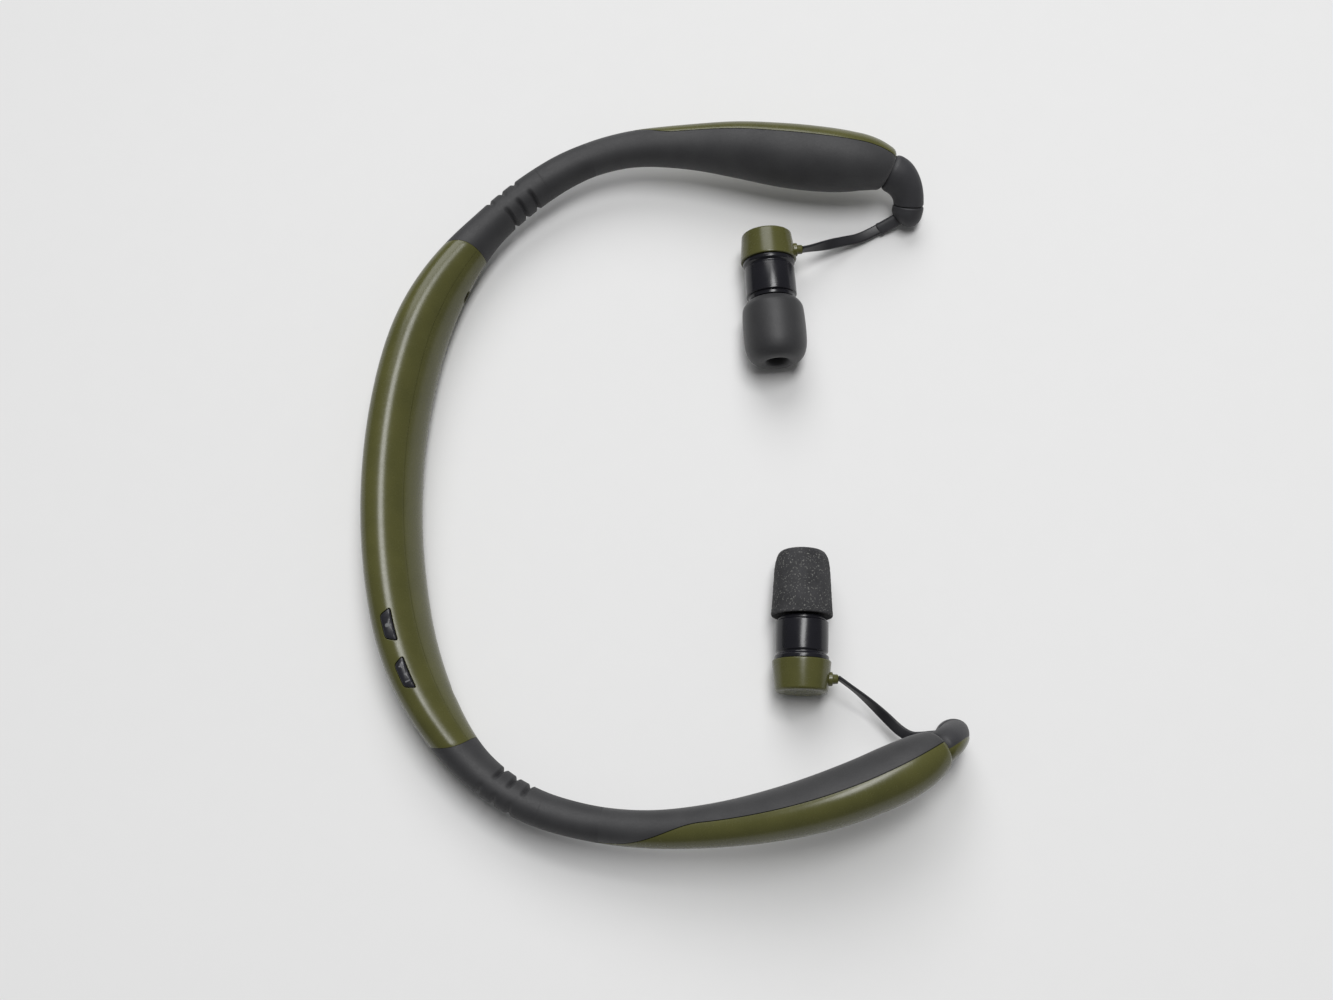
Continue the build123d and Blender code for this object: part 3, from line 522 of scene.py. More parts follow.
OLIVE = moulded(
    "olive_plastic", (0.072, 0.072, 0.021), (0.086, 0.085, 0.025), (0.24, 0.29), 900, 1.2,
    Specular_IOR_Level=0.42,
)
OLIVE_RUBBER = moulded("olive_rubber", (0.075, 0.070, 0.022), (0.090, 0.084, 0.028), (0.5, 0.62), 2600, 10)
NECK_RUBBER = moulded(
    "neck_rubber", (0.026, 0.026, 0.028), (0.036, 0.036, 0.038), (0.52, 0.66), 3200, 16,
    Specular_IOR_Level=0.42,
)
ARM_RUBBER = moulded(
    "arm_rubber", (0.027, 0.027, 0.029), (0.038, 0.038, 0.040), (0.54, 0.68), 3200, 18,
    Specular_IOR_Level=0.42, Sheen_Weight=0.12, Sheen_Roughness=0.5,
)
HOOK_RUBBER = moulded(
    "hook_rubber", (0.028, 0.028, 0.031), (0.038, 0.038, 0.042), (0.48, 0.62), 3800, 14,
    Specular_IOR_Level=0.42,
)
BLACK_GLOSS = moulded(
    "black_gloss", (0.009, 0.009, 0.012), (0.012, 0.012, 0.016), (0.20, 0.25), 1200, 0.8,
    Specular_IOR_Level=0.4,
)
BUTTON_BLACK = moulded("button_black", (0.012, 0.012, 0.016), (0.018, 0.018, 0.024), (0.30, 0.42), 3000, 8)
# Painted highlight: the volume key's raised marks are the key's black plastic, and this grey stands in for
# the light on their ridges.
MARK_HIGHLIGHT_GREY = moulded("button_mark_painted_highlight", (0.10, 0.10, 0.11), (0.14, 0.14, 0.15), (0.35, 0.45), 3000, 4)
FOAM_SMOOTH = moulded(
    "foam_smooth", (0.026, 0.026, 0.028), (0.034, 0.034, 0.036), (0.46, 0.58), 4200, 12,
    speckle=((0.05, 0.05, 0.05), 5200, 0.28), Specular_IOR_Level=0.4, Sheen_Weight=0.1,
)
FOAM_COARSE = moulded(
    "foam_coarse", (0.022, 0.022, 0.024), (0.052, 0.052, 0.055), (0.7, 0.9), 2400, 60,
    speckle=((0.16, 0.16, 0.15), 2600, 0.33), Specular_IOR_Level=0.3,
)
CORD_BLACK = moulded("cord_black", (0.010, 0.010, 0.012), (0.015, 0.015, 0.018), (0.36, 0.5), 5200, 8)
LEAD_BLACK = moulded("lead_insulation", (0.015, 0.015, 0.016), (0.024, 0.024, 0.026), (0.4, 0.5), 3000, 5)
STEEL = moulded("steel", (0.50, 0.50, 0.51), (0.62, 0.62, 0.63), (0.22, 0.36), 4000, 3, Metallic=1.0)
BRASS = moulded("brass", (0.55, 0.38, 0.14), (0.70, 0.50, 0.22), (0.26, 0.40), 4000, 3, Metallic=1.0)
NYLON = moulded(
    "nylon", (0.62, 0.60, 0.54), (0.72, 0.70, 0.64), (0.36, 0.48), 2500, 5, Subsurface_Weight=0.1,
)
BOARD = moulded(
    "solder_mask", (0.010, 0.075, 0.030), (0.016, 0.105, 0.045), (0.28, 0.40), 2000, 6,
    speckle=((0.45, 0.36, 0.12), 1100, 0.30),
)
CHIP = moulded("chip_epoxy", (0.012, 0.012, 0.012), (0.020, 0.020, 0.020), (0.45, 0.6), 5000, 6)
FOIL = moulded("cell_foil", (0.50, 0.50, 0.53), (0.62, 0.62, 0.64), (0.25, 0.42), 700, 30, Metallic=1.0)
LENS = moulded("light_window", (0.13, 0.135, 0.14), (0.17, 0.175, 0.18), (0.3, 0.4), 2000, 2)
TABLE = moulded(
    "table", (0.785, 0.785, 0.785), (0.79, 0.79, 0.79), (0.85, 0.95), 60, 2, Specular_IOR_Level=0.1,
)


def paint(piece, material):
    piece.data.materials.clear()
    piece.data.materials.append(material)


def finish_piece(piece, body, slot, material, *nodes):
    """Gives a piece its material and its body, and hides the nodes it stands for. slot, the slot it takes its
    finish from, is not used.
    """
    paint(piece, material)
    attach(piece, body)
    if nodes:
        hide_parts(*nodes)


def finish_blend(piece, bodies, ends, slot, material, *nodes):
    """Gives a piece that bends between two bodies its material, bakes its placing into its mesh and hides the
    nodes it stands for. bodies and slot are not used.
    """
    paint(piece, material)
    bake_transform(piece)
    if nodes:
        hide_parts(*nodes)


# ---- camera and lights

def make_camera():
    camera = bpy.data.objects.new("camera", bpy.data.cameras.new("camera"))
    camera.data.lens = CAMERA_LENS
    camera.data.sensor_width = 36
    elevation = math.radians(CAMERA_ELEVATION)
    back = Vector((0, -math.cos(elevation), math.sin(elevation)))
    camera.location = CAMERA_TARGET + back * CAMERA_DISTANCE
    camera.rotation_mode = "QUATERNION"
    camera.rotation_quaternion = (-back).to_track_quat("-Z", "Y")
    camera.data.clip_start = 0.01
    camera.data.clip_end = 20
    link(camera)
    bpy.context.scene.camera = camera


def add_lamp(light, toward):
    """Puts a light in the scene, facing along a direction."""
    lamp = bpy.data.objects.new(light.name, light)
    lamp.rotation_mode = "QUATERNION"
    lamp.rotation_quaternion = toward.to_track_quat("-Z", "Y")
    link(lamp)
    return lamp


def make_studio():
    """White surroundings, a soft box overhead and a wide soft light from behind."""
    world = bpy.data.worlds.new("studio")
    bpy.context.scene.world = world
    world.use_nodes = True
    background = world.node_tree.nodes["Background"]
    background.inputs["Color"].default_value = (1, 1, 1, 1)
    background.inputs["Strength"].default_value = WORLD_STRENGTH
    box = bpy.data.lights.new("overhead_box", "AREA")
    box.shape = "RECTANGLE"
    box.size, box.size_y = BOX_SIZE
    box.energy = BOX_POWER
    add_lamp(box, -Vector(BOX_AT)).location = BOX_AT
    sky = bpy.data.lights.new("back_sky", "SUN")
    sky.energy = SKY_ENERGY
    sky.angle = math.radians(SKY_ANGLE)
    add_lamp(sky, Vector(SKY_TOWARD))
    bpy.context.scene.view_settings.view_transform = "Standard"


def make_floor():
    mesh = bpy.data.meshes.new("floor")
    corners = [(x * FLOOR_REACH, y * FLOOR_REACH, 0) for x, y in ((-1, -1), (1, -1), (1, 1), (-1, 1))]
    mesh.from_pydata(corners, [], [(0, 1, 2, 3)])
    floor = bpy.data.objects.new("floor", mesh)
    link(floor)
    paint(floor, TABLE)


# ---- cords

def route_line(side):
    """Points of the cord's smooth line, in millimetres."""
    curve = bpy.data.curves.new(side + "_route", "CURVE")
    curve.dimensions = "3D"
    spline = curve.splines.new("NURBS")
    spline.points.add(len(CORD_ROUTE[side]) - 1)
    for point, place in zip(spline.points, CORD_ROUTE[side]):
        point.co = (*place, 1)
    spline.order_u = 3
    spline.use_endpoint_u = True
    curve.resolution_u = 12
    holder = bpy.data.objects.new(side + "_route", curve)
    link(holder)
    line = bpy.data.meshes.new_from_object(holder)
    points = [vertex.co / MM for vertex in line.vertices]
    bpy.data.objects.remove(holder)
    return points


def ribbon_ring(centre, across, normal):
    """A flat oval-edged section of the cord."""
    half_width, half_thick = RIBBON_WIDTH / 2, RIBBON_THICK / 2
    ring = []
    for start, sign in ((-90, 1), (90, -1)):
        for angle in steps(start, start + 180, 6):
            t = math.radians(angle)
            side_by = sign * (half_width - half_thick) + half_thick * math.cos(t)
            ring.append(centre + across * side_by + normal * (half_thick * math.sin(t)))
        ring.append(centre + normal * (half_thick * 0.86 * math.sin(math.radians(start + 180))))
    return ring


def make_cord(side):
    line = route_line(side)
    lengths = [0.0]
    for before, point in zip(line, line[1:]):
        lengths.append(lengths[-1] + (point - before).length)
    mouth = Vector(CORD_ROUTE[side][SLEEVE_MOUTH[side]]) / MM
    nearest = min(range(len(line)), key=lambda i: (line[i] - mouth).length)
    rows = []
    for index, point in enumerate(line):
        ahead, behind = line[min(index + 1, len(line) - 1)], line[max(index - 1, 0)]
        tangent = (ahead - behind).normalized()
        level = tangent.cross(Vector((0, 0, 1))).normalized()
        upright = level.cross(tangent).normalized()
        free = (lengths[index] - lengths[nearest]) / (lengths[-1] - lengths[nearest])
        twist = ribbon_twist(side, free)
        rows.append(ribbon_ring(point, turn(level, upright, twist), turn(upright, -level, twist)))
    into_boss = (line[-1] - line[-2]).normalized() * RIBBON_IN_BOSS
    rows.append([point + into_boss for point in rows[-1]])
    ribbon = tube(side + "_bud_ribbon", rows, 50)
    bodies = (side + "_arm", side + "_bud")
    finish_blend(ribbon, bodies, (line[nearest], line[-1]), "cord_fabric", CORD_BLACK, side + "_bud_cord")


def ribbon_twist(side, free):
    first, last, start, end = RIBBON_TWIST[side]
    return mix(first, last, ease(free, start, end))


make_camera()
make_studio()
make_floor()
for side in SIDES:
    make_cord(side)


# ---- pod

POD_EDGE = 0.05           # rounding of the pod's ends and bevel of its seam
POD_SEAM_GAP = 0.35       # degrees between the two halves of the pod
POD_SLANT_FADE = 14       # length over which the pod's rings turn into its slanted ends
GAP = 0.06                # between the pod and a neck
OPENING = ((0, -1.0), (0, 3.0))
KEY_GAP, KEY_CORNER, KEY_THICK, KEY_PROUD = 0.22, 0.6, 1.5, 0.25
SHRINK = 0.02             # by which a key or flap is smaller than its outline
LIP_RADIUS = 0.09
PORT_CORNER = 1.2
FLAP_LEVELS = (
    (0.1, 1.1), (0.0, 0.9), (0.0, 0.25), (0.1, 0.07), (0.25, 0.0), (0.7, 0.0), (0.9, 0.05), (1.1, 0.05),
    (1.3, 0.0), (1.8, 0.0),
)

# (radius, height) outlines of round solids square to the pod's surface.
MIC_BORE = ((0.85, 1), (0.85, 0), (0.5, -0.35), (0.5, -3))
SCREW_BORE = ((1.7, 1), (1.7, 0.0), (1.5, -0.2), (1.5, -0.95), (0.8, -0.96), (0.8, -3))
SCREW_SHAPE = ((0.6, -6.2), (0.65, -0.95), (1.4, -0.92), (1.4, -0.62), (1.25, -0.52), (0.7, -0.5))
LIGHT_SHAPE = ((0.45, -1.0), (0.45, 0.22), (0.4, 0.27), (0.2, 0.29))
SLOT_LONG, SLOT_WIDE, SLOT_DEPTHS = 0.75, 0.16, (-0.1, -0.75)

# The volume marks: (shift along the key, (half length, half width), height). The first two cross in a plus.
MARKS = ((1.7, (0.55, 0.16), -0.33), (1.7, (0.16, 0.55), -0.34), (-1.7, (0.16, 0.55), -0.33))
MARK_TURN, MARK_FOOT, MARK_EDGE, MARK_CORNER = 3, 0.3, 0.05, 0.12


def pod_place(u):
    """The place of a pod ring at each angle: near the ends it follows the slanting junction."""
    side = pod_side(u)
    share = ease(abs(u), POD_END - POD_SLANT_FADE, POD_END)

    def place_of(angle):
        shifted = abs(u) + (junction(side, angle) - POD_END) * share
        return math.copysign(shifted, u)
    return place_of


def pod_shell(name, low, high, columns):
    rows = []
    for u, sink in end_rows(-POD_END, POD_END, 150, POD_EDGE):
        place_of = pod_place(u)
        rows.append(shell_ring(place_of, low, high, POD_WALL, POD_EDGE, sink, columns, pod_spot))
    return channel(name, rows)


def key_outline(place, margin):
    """Outline of a control key, as (place, millimetres round the pod), corners rounded."""
    half = BUTTON_LENGTH / 2 + margin
    reach = round_by(place)
    low, high = BUTTON_LOW * reach - margin, BUTTON_HIGH * reach + margin
    corners = [
        (place - half, high), (place - half + BUTTON_TAPER, low), (place + half - BUTTON_TAPER, low),
        (place + half, high),
    ]
    return divided(rounded(corners, KEY_CORNER + margin), 0.35)


def round_by(place):
    """Millimetres round the pod for one degree, near the keys."""
    half_out, half_up = half_sizes(place)
    t = math.radians(BUTTON_ANGLE)
    return math.radians(math.hypot(half_out * math.sin(t), half_up * math.cos(t)))


def key_point(place):
    """Turns a place and a length round the pod into a point at a depth."""
    reach = round_by(place)
    return lambda along, around, depth: pod_spot(along, around / reach, depth)


def port_reach():
    """Millimetres round the pod for one degree, near the charging port."""
    return math.radians(half_sizes(PORT_FROM)[1])


def port_outline(margin, hinge_gap):
    """Outline of the charging flap, or of its opening, which has a wider gap at the hinge end."""
    low = (PORT_ANGLE - PORT_SPREAD) * port_reach() - margin
    high = (PORT_ANGLE + PORT_SPREAD) * port_reach() + margin
    start, end = PORT_FROM - hinge_gap, PORT_TO + margin
    return divided(rounded([(start, low), (end, low), (end, high), (start, high)], PORT_CORNER), 0.5)


def port_point(along, around, depth):
    return pod_spot(along, around / port_reach(), depth)


def lip(outline, place_point):
    """A fine rounded rim along the edge of an opening."""
    rows = []
    for index, (x, y) in enumerate(outline):
        here = place_point(x, y, LIP_RADIUS)
        before, after = outline[index - 1], outline[(index + 1) % len(outline)]
        tangent = (place_point(*after, LIP_RADIUS) - place_point(*before, LIP_RADIUS)).normalized()
        outward = (place_point(x, y, 0) - place_point(x, y, 1)).normalized()
        across = tangent.cross(outward).normalized()
        rows.append([here + (outward * math.sin(a) + across * math.cos(a)) * LIP_RADIUS for a in circle(8)])
    return pipe("lip", rows)


def round_solid(name, place, angle, profile, count=32):
    return tube(name, disc_rows(*surface_axes(place, angle), profile, count))


def make_pod():
    openings = [(key_outline(place, KEY_GAP), key_point(place)) for place in (POWER_AT, VOLUME_AT)]
    openings.append((port_outline(PORT_GAP, PORT_HINGE_GAP), port_point))
    outer = pod_shell("pod_shell", POD_SEAM_BOTTOM, POD_SEAM_TOP, 96)
    cutters = [pillow("cutter", outline, OPENING, place_point) for outline, place_point in openings]
    cut(outer, *cutters, round_solid("cutter", MIC_PLACE, MIC_ANGLE, MIC_BORE))
    join(outer, *[lip(outline, place_point) for outline, place_point in openings])
    finish_piece(outer, "root", "olive_gloss", OLIVE, "pod_outer_shell")

    inner = pod_shell("pod_cover", POD_SEAM_TOP + POD_SEAM_GAP, 360 + POD_SEAM_BOTTOM - POD_SEAM_GAP, 48)
    cut(inner, *[round_solid("cutter", place, SCREW_ANGLE, SCREW_BORE) for place in SCREW_PLACES])
    finish_piece(inner, "root", "olive_gloss", OLIVE, "pod_inner_cover")


def make_screws():
    screws = []
    for place in SCREW_PLACES:
        screw = round_solid("screw", place, SCREW_ANGLE, SCREW_SHAPE, 48)
        point, along, across, normal = surface_axes(place, SCREW_ANGLE)
        for first, second in ((along, across), (across, along)):
            box = [
                [point + first * (SLOT_LONG * i) + second * (SLOT_WIDE * j) + normal * depth
                 for i, j in ((-1, -1), (1, -1), (1, 1), (-1, 1))]
                for depth in SLOT_DEPTHS
            ]
            cut(screw, tube("slot", box))
        screws.append(screw)
    join(*screws)
    screws[0].name = "cover_screws"
    finish_piece(screws[0], "root", "steel", STEEL, "pod_screws")


def key_levels():
    """Side, rounded edge and slightly domed top of a key."""
    levels = [(0.08, KEY_THICK), (0.0, 0.4)]
    for bend in steps(0, math.pi / 2, 4):
        levels.append((0.35 * (1 - math.cos(bend)), 0.1 - KEY_PROUD + 0.3 * (1 - math.sin(bend))))
    return levels + [(0.55, 0.05 - KEY_PROUD), (0.8, -KEY_PROUD)]


def make_key(name, place, body):
    """A key, which has the same name as its body in the CAD."""
    key = pillow(name, key_outline(place, -SHRINK), key_levels(), key_point(place))
    finish_piece(key, body, "button_black", BUTTON_BLACK, body)


def make_key_light():
    window = round_solid("key_light", POWER_AT, BUTTON_ANGLE, LIGHT_SHAPE, 40)
    finish_piece(window, "power_button", "lens_clear", LENS, "status_lens")


def make_marks():
    """The raised plus and minus on the volume key. They are the key's own black plastic, painted grey as a
    painted highlight where their ridges catch the light.
    """
    marks = []
    middle = (BUTTON_ANGLE + MARK_TURN) * round_by(VOLUME_AT)
    for shift, (length, width), height in MARKS:
        x = VOLUME_AT + shift
        corners = [
            (x + i * length, middle + j * width) for i, j in ((-1, -1), (1, -1), (1, 1), (-1, 1))
        ]
        levels = ((0, MARK_FOOT), (0, height + MARK_EDGE), (MARK_EDGE, height))
        marks.append(pillow("mark", rounded(corners, MARK_CORNER), levels, key_point(VOLUME_AT)))
    join(*marks)
    marks[0].name = "volume_marks"
    finish_piece(marks[0], "volume_rocker", "button_black", MARK_HIGHLIGHT_GREY)


def make_flap():
    flap = pillow("charging_flap", port_outline(-SHRINK, -SHRINK), FLAP_LEVELS, port_point)
    finish_piece(flap, "port_flap", "flap_rubber", OLIVE_RUBBER, "port_flap")


make_pod()
make_screws()
make_key("power_key", POWER_AT, "power_button")
make_key_light()
make_key("volume_key", VOLUME_AT, "volume_rocker")
make_marks()
make_flap()


# ---- necks

GROOVE_HALF = 0.75
# Grooves on the outer (1) and inner (-1) side: their places, their depth, and where round the neck they start
# and reach it.
GROOVES = ((1, (70.5, 74.0, 77.5), 0.5, 0.25, 0.75), (-1, (72.0, 75.5, 79.0), 0.75, 0.15, 0.6))
NECK_SLANT_FADE, TAIL_TUCK = 9, 0.6
BEND_FROM = 65
THREAD_FROM, THREAD_TO = 53, 94
# Wires inside the necks: node, name of the piece, radius, height in the neck, slot and material.
THREADS = (
    ("spring_wire", "spring", 0.6, -1.3, "steel", STEEL),
    ("neck_lead", "lead", 0.7, 1.2, "lead_insulation", LEAD_BLACK),
)


def groove_depth(place, angle, roll):
    """How far the neck's surface is let in at a place, in short grooves on both sides of the bend."""
    depth = 0.0
    across = math.cos(math.radians(angle - roll))
    for sign, centres, deepest, start, full in GROOVES:
        facing = ease(max(0.0, sign * across), start, full)
        for centre in centres:
            dip = max(0.0, 1 - abs(place - centre) / GROOVE_HALF)
            depth = max(depth, deepest * ease(dip, 0, 1) * facing)
    return depth


def neck_rings(side, places, slant, tuck=0.0):
    """Rings along the outside of a neck and back along its inside.
    With slant it starts along the pod's slanted end, and a tuck slips its start into the piece before."""
    def place_at(u, angle):
        if not slant:
            return u
        return u + (junction(side, angle) + GAP - POD_END) * (1 - ease(u, POD_END, POD_END + NECK_SLANT_FADE))

    angles = [360 * i / 72 for i in range(72)]
    rows = []
    if tuck:
        rows.append([spot(side, places[0] - tuck, angle, tuck / 2) for angle in angles])
    for u in places:
        roll = mix(POD_ROLL, ARM_ROLL[side], ease(u, ROLL_FROM, ROLL_TO))
        row = []
        for angle in angles:
            place = place_at(u, angle)
            row.append(spot(side, place, angle, groove_depth(place, angle, roll)))
        rows.append(row)
    for u in reversed(places):
        rows.append([spot(side, place_at(u, angle), angle, NECK_WALL) for angle in angles])
    return rows


def make_neck(side):
    neck, arm = side + "_neck", side + "_arm"
    start, middle, end = [band_frame(side, place)[0] for place in (BEND_FROM, FLEX_TO, NECK_TO)]
    rear, front = (("root", neck), (start, middle)), ((neck, arm), (middle, end))
    grip = pipe(side + "_grip", neck_rings(side, steps(POD_END, FLEX_TO, 92), True))
    finish_blend(grip, *rear, "neck_rubber", NECK_RUBBER, side + "_neck_grip")
    tail = pipe(side + "_tail", neck_rings(side, steps(FLEX_TO, NECK_TO, 26), False, TAIL_TUCK))
    finish_blend(tail, *front, "neck_rubber", NECK_RUBBER, side + "_neck_tail")
    for node, name, radius, up_by, slot, material in THREADS:
        first = thread_tube(side + "_" + name + "_rear", side, THREAD_FROM, FLEX_TO, radius, up_by)
        finish_blend(first, *rear, slot, material, side + "_" + node)
        second = thread_tube(side + "_" + name + "_front", side, FLEX_TO, THREAD_TO, radius, up_by)
        finish_blend(second, *front, slot, material)


def thread_tube(name, side, start, end, radius, up_by):
    """A round wire along the inside of a neck."""
    rows = []
    for u in steps(start, end, 40):
        centre, forward, out, up = band_frame(side, u)
        middle = centre + up * up_by
        rows.append([middle + (out * math.cos(a) + up * math.sin(a)) * radius for a in circle(16)])
    return tube(name, rows)


for side in SIDES:
    make_neck(side)


# ---- arms

COVER_START, COVER_FULL = 96, 116
COVER_POINT, COVER_BOTTOM, COVER_TIP_SHARE = 24, -76, 0.04
COVER_TOP = {"left": 122, "right": 107}
BODY_TUCK, ARM_EDGE, ARM_GAP, ARM_ROUNDING = 0.5, 0.35, 0.12, 1.0
TONGUE_END = {"left": 7.5, "right": 10.0}
TONGUE_SPREAD = {"left": 62, "right": 78}
TONGUE_PROUD, TONGUE_DEEP, TONGUE_TIP, TONGUE_START = 0.16, 0.4, 1.5, -1.0
HOOK_START, HOOK_EDGE, CAP_GAP, CAP_EDGE, DOME_FROM = -5, 0.3, 0.12, 0.35, 11.6
SLEEVE_HALF = (1.45, 0.9)
# The mouth of the sleeve's wall, outside and then inside: distance from its end, and growth of its section.
SLEEVE_OUTER = ((-0.9, 0.0), (-0.75, 0.06), (-0.15, 0.06), (0, -0.06))
SLEEVE_INNER = ((0, -0.36), (-0.5, -0.42))


def cover_angles(side, place):
    """Lower and upper angle of the arm's cover at a place."""
    share = mix(COVER_TIP_SHARE, 1, ease(place, COVER_START, COVER_FULL))
    return mix(COVER_POINT, COVER_BOTTOM, share), mix(COVER_POINT, COVER_TOP[side], share)


def arm_rows(side, is_cover):
    """Rings of the arm's cover, or of its body, whose start is tucked into the neck."""
    whole = ARM_END - ARM_ROUNDING
    places = [(place, 0.0) for place in steps(COVER_START, whole, 110)]
    for bend in (22, 45, 67, 90):
        t = math.radians(bend)
        places.append((whole + ARM_ROUNDING * math.sin(t), ARM_ROUNDING * (1 - math.cos(t)) * 0.95))
    if not is_cover:
        places = [(NECK_TO - BODY_TUCK, BODY_TUCK), (NECK_TO, 0.0)] + places
    rows = []
    for place, sink in places:
        low, high = cover_angles(side, place)
        if not is_cover:
            spare = math.degrees(ARM_GAP / half_sizes(place)[0])
            low, high = high + spare, 360 + low - spare
        edge = min(ARM_EDGE, (high - low) / 40)
        point_at = functools.partial(spot, side)
        rows.append(shell_ring(lambda angle: place, low, high, ARM_WALL, edge, sink, 64, point_at))
    return rows


def make_arm(side):
    arm = side + "_arm"
    cover = channel(side + "_cover", arm_rows(side, True))
    join(cover, make_tongue(side))
    finish_piece(cover, arm, "olive_gloss", OLIVE, side + "_arm_cover")
    body = channel(side + "_body", arm_rows(side, False))
    finish_piece(body, arm, "arm_rubber", ARM_RUBBER, side + "_arm_body")


def hook_ring(side, past, half_out, half_up):
    axes = hook_frame(side, past)
    return [on_oval(axes, half_out, half_up, 360 * i / 64) for i in range(64)]


def hook_sizes(past):
    """Half sizes of the hook's guide, which is wider where it leaves the arm."""
    flare = ease(past, -0.6, 0.9) * (1 - ease(past, 0.9, 9.5))
    grown = ease(past, 0, 3)
    return 2.9 + 0.5 * flare + 0.15 * grown, 3.25 + 1.05 * flare + 0.3 * grown


def make_tongue(side):
    """The cover's olive tongue, which runs out along the outer side of the hook and narrows to a point."""
    rows = []
    for past in steps(TONGUE_START, TONGUE_END[side], 44):
        share = max(0.0, past) / TONGUE_END[side]
        spread = TONGUE_SPREAD[side] * math.sqrt(max(0.0, 1 - share**2.4)) + TONGUE_TIP
        half_out, half_up = hook_sizes(past)
        axes = hook_frame(side, past)
        row = []
        for angle in steps(-spread, spread, 28):
            crown = TONGUE_PROUD * math.sqrt(max(0.0, 1 - (angle / spread) ** 4))
            row.append(on_oval(axes, half_out + crown, half_up + crown, angle))
        for angle in steps(spread, -spread, 28):
            row.append(on_oval(axes, half_out - TONGUE_DEEP, half_up - TONGUE_DEEP, angle))
        rows.append(row)
    return channel(side + "_tongue", rows)


def make_hook(side):
    """The hook's guide with its rounded end, and its domed cap."""
    whole = HOOK_LENGTH - HOOK_EDGE
    guide = [(past, *hook_sizes(past)) for past in steps(HOOK_START, whole, 60)]
    for bend in (30, 60, 90):
        t = math.radians(bend)
        fall = HOOK_EDGE * math.cos(t)
        guide.append((whole + HOOK_EDGE * math.sin(t), 2.7 + fall, 3.2 + fall))
    start, end = HOOK_LENGTH + CAP_GAP, CAP_END[side]
    dome = []
    for bend in (90, 60, 30, 0):
        t = math.radians(bend)
        fall = CAP_EDGE * math.cos(t)
        dome.append((start + CAP_EDGE * (1 - math.sin(t)), 2.8 + fall, 3.3 + fall))
    for share in steps(0, 1, 40)[1:]:
        past = mix(start + CAP_EDGE, end, math.sin(share * math.pi / 2))
        fall = math.sqrt(max(0.0, 1 - max(0.0, (past - DOME_FROM) / (end - DOME_FROM)) ** 2.6))
        dome.append((past, 0.1 + 3.05 * fall, 0.1 + 3.55 * fall))
    for name, node, rows in (("_guide", "_hook_guide", guide), ("_cap", "_hook_cap", dome)):
        piece = tube(side + name, [hook_ring(side, *row) for row in rows])
        finish_piece(piece, side + "_arm", "hook_rubber", HOOK_RUBBER, side + node)


def sleeve_axes(side):
    """Start, direction, wide and narrow directions of the cord's sleeve."""
    out = hook_frame(side, 0)[2]
    base = band_frame(side, DROOP_FROM)
    backward = turn(base[1], -base[3], SLEEVE_ANGLE[side])
    direction = turn(backward, -out, SLEEVE_SWING[side])
    wide = direction.cross(turn(out, backward, SLEEVE_SWING[side])).normalized()
    return hook_frame(side, CAP_CENTRE)[0], direction, wide, direction.cross(wide).normalized()


def make_sleeve(side):
    start, direction, wide, narrow = sleeve_axes(side)
    length = SLEEVE_LENGTH[side]
    profile = [(0.0, 0.0)]
    profile += [(length + distance, grow) for distance, grow in SLEEVE_OUTER + SLEEVE_INNER]
    profile.append((0.0, SLEEVE_INNER[-1][1]))
    rows = []
    for distance, grow in profile:
        half_wide, half_narrow = SLEEVE_HALF[0] + grow, SLEEVE_HALF[1] + grow
        row = []
        for angle in circle(48):
            x, y = superellipse(angle)
            row.append(start + direction * distance + wide * (half_wide * x) + narrow * (half_narrow * y))
        rows.append(row)
    sleeve = pipe(side + "_sleeve", rows)
    finish_piece(sleeve, side + "_arm", "hook_rubber", HOOK_RUBBER, side + "_cord_sleeve")


def superellipse(angle, power=0.7):
    """A rounded box outline of half size 1."""
    c, s = math.cos(angle), math.sin(angle)
    return math.copysign(abs(c) ** power, c), math.copysign(abs(s) ** power, s)


for side in SIDES:
    make_arm(side)
    make_hook(side)
    make_sleeve(side)


# ---- buds

def bud_axes(side):
    """Centre of the closed end, direction of the tip, and two directions across."""
    x, y = BUD_END[side]
    angle = math.radians(BUD_TIP_ANGLE[side])
    tip = Vector((math.cos(angle), math.sin(angle), 0))
    across = tip.cross(Vector((0, 0, 1)))
    return Vector((x, y, BUD_AXIS_HEIGHT[side])), tip, across, Vector((0, 0, 1))


def turned(name, side, outline, corner):
    """A solid turned about the bud's axis from a closed outline of (radius, distance) pairs."""
    centre, tip, across, up = bud_axes(side)
    profile = [(max(radius, 0.0), distance) for radius, distance in rounded(outline, corner)]
    return pipe(name, disc_rows(centre, across, up, tip, profile, 120), 30)


def curve_through(points, count=8):
    """A smooth open curve of (x, y) pairs through some points."""
    made = []
    rows = [points[0]] + list(points) + [points[-1]]
    for a, b, c, d in zip(rows, rows[1:], rows[2:], rows[3:]):
        for t in steps(0, 1, count)[:-1]:
            made.append(tuple(
                0.5 * (2 * b[k] + (c[k] - a[k]) * t + (2 * a[k] - 5 * b[k] + 4 * c[k] - d[k]) * t**2
                       + (3 * b[k] - a[k] - 3 * c[k] + d[k]) * t**3)
                for k in (0, 1)
            ))
    made.append(points[-1])
    return made


CAP_INSIDE, CAP_FLOOR = 0.9, 1.1
FOAM_BORE, FOAM_FROM = 2.25, 17.2
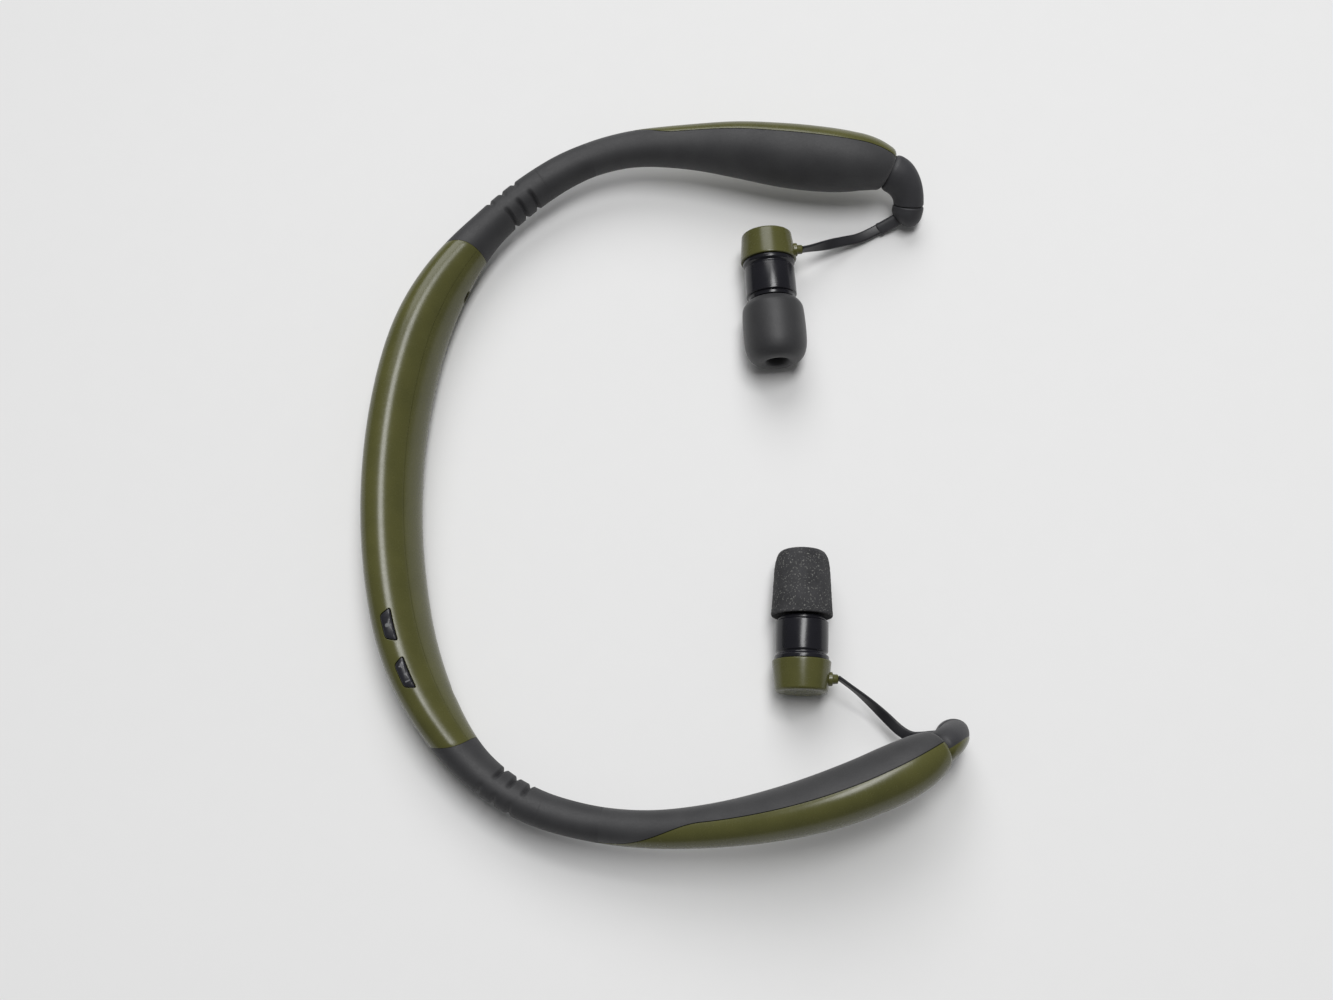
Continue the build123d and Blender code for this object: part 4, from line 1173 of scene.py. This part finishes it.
# Foam tips as (radius, distance along the bud), from the back to the mouth of the bore.
FOAM_OUTLINE = {
    "left": (
        (2.25, 16.9), (3.8, 16.7), (5.2, 16.7), (5.9, 17.0), (6.55, 17.8), (6.95, 18.7), (7.12, 20.5),
        (7.2, 23.5), (7.15, 26.5), (6.9, 28.4), (6.3, 30.0), (5.3, 31.1), (4.2, 31.5), (3.3, 31.45),
        (2.75, 31.2), (2.45, 30.7), (2.25, 29.9),
    ),
    "right": (
        (2.25, 17.2), (4.5, 17.1), (6.0, 16.75), (6.5, 16.65), (6.72, 16.85), (6.72, 17.3), (6.6, 19.0),
        (6.42, 22.0), (6.25, 25.0), (6.05, 27.6), (5.7, 29.5), (5.1, 30.75), (4.2, 31.35), (3.2, 31.5),
        (2.5, 31.3), (2.25, 30.7),
    ),
}
FOAM_MATERIAL = {"left": ("foam_smooth", FOAM_SMOOTH), "right": ("foam_coarse", FOAM_COARSE)}


def make_bud(side):
    bud = side + "_bud"
    cap = turned(side + "_end_cap", side, (
        (0, 0.05), (CAP_END_RADIUS - 0.45, 0.0), (CAP_END_RADIUS, 0.35),
        (CAP_RADIUS - 0.05, CAP_LENGTH - 0.6), (CAP_RADIUS, CAP_LENGTH),
        (CAP_RADIUS - CAP_INSIDE, CAP_LENGTH), (CAP_END_RADIUS - CAP_INSIDE, CAP_FLOOR), (0, CAP_FLOOR),
    ), 0.3)
    finish_piece(cap, bud, "olive_gloss", OLIVE, side + "_bud_cap")

    ring = CAP_LENGTH + 0.08
    barrel = turned(side + "_barrel", side, (
        (4.2, 4.5), (5.1, 4.5), (5.1, ring), (5.95, ring), (5.95, ring + 0.9), (5.45, ring + 1.25),
        (5.4, ring + 1.6), (BARREL_RADIUS - 0.05, ring + 1.9), (BARREL_RADIUS, 12.0), (BARREL_RADIUS, 15.4),
        (5.25, 15.6), (5.2, BARREL_TO),
        (NOZZLE_RADIUS, BARREL_TO), (NOZZLE_RADIUS, NOZZLE_TO), (NOZZLE_BORE, NOZZLE_TO),
        (NOZZLE_BORE, BARREL_TO - 1.4), (4.2, BARREL_TO - 1.4),
    ), 0.18)
    finish_piece(barrel, bud, "black_gloss", BLACK_GLOSS, side + "_bud_barrel")
    make_boss(side)
    make_foam(side)


def make_boss(side):
    """The two-step stud that the cord goes into, on the side of the end cap."""
    centre, tip, across, up = bud_axes(side)
    direction = across if across.x > 0 else -across
    local = mix(CAP_END_RADIUS, CAP_RADIUS, BOSS_PLACE[side] / CAP_LENGTH)
    foot = centre + tip * BOSS_PLACE[side]
    steps_out = (
        (1.55, local - 0.35), (1.55, local + 0.5), (1.45, local + 0.62), (1.12, local + 0.7),
        (1.08, local + 0.85), (1.05, local + 1.6), (0.98, local + 1.78), (0.8, local + 1.88),
        (0.62, local + 1.88), (0.5, local + 1.2),
    )
    rows = disc_rows(foot, tip, direction.cross(tip), direction, steps_out, 40)
    boss = tube(side + "_boss", rows)
    finish_piece(boss, side + "_bud", "olive_gloss", OLIVE, side + "_cord_boss")


def foam_dent(side, point):
    """How far the foam's skin is let in at a point, in millimetres."""
    if side == "left":
        return 0.012 * noise.noise(point * 3.0) + 0.008 * noise.noise(point * 7.0)
    cells = noise.noise(point * 1.9) * 0.07 + noise.noise(point * 4.1) * 0.05
    return cells + 0.05 * max(0.0, noise.noise(point * 2.7 + Vector((9, 4, 2))))


def make_foam(side):
    centre, tip, across, up = bud_axes(side)
    profile = curve_through(FOAM_OUTLINE[side], 7)
    bore = [(FOAM_BORE, mix(FOAM_FROM, profile[-1][1], share)) for share in (0.8, 0.5, 0.2)]
    rows = disc_rows(centre, across, up, tip, profile + bore, 200)
    for row in rows:
        for index, point in enumerate(row):
            radial = point - centre
            radial -= tip * radial.dot(tip)
            if radial.length > 2.4:
                row[index] = point - radial.normalized() * foam_dent(side, point)
    foam = pipe(side + "_foam", rows, 80)
    finish_piece(foam, side + "_tip", *FOAM_MATERIAL[side], side + "_foam_tip")


for side in SIDES:
    make_bud(side)


# ---- pieces that the casings hide

HIDDEN = {
    "battery": FOIL, "main_board": BOARD, "switch_board": BOARD, "radio_chips": CHIP, "microphone": STEEL,
    "tact_switches": STEEL, "charging_socket": STEEL, "wire_anchor": BRASS, "arm_lead": LEAD_BLACK,
    "reel_axle": STEEL, "reel_bracket": NYLON, "clock_spring": STEEL, "reel_spool": NYLON,
    "wound_cord": CORD_BLACK, "bud_driver": STEEL, "nozzle_screen": STEEL,
}
for node, material in HIDDEN.items():
    for name in (node, "left_" + node, "right_" + node):
        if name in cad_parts:
            paint(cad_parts[name], material)
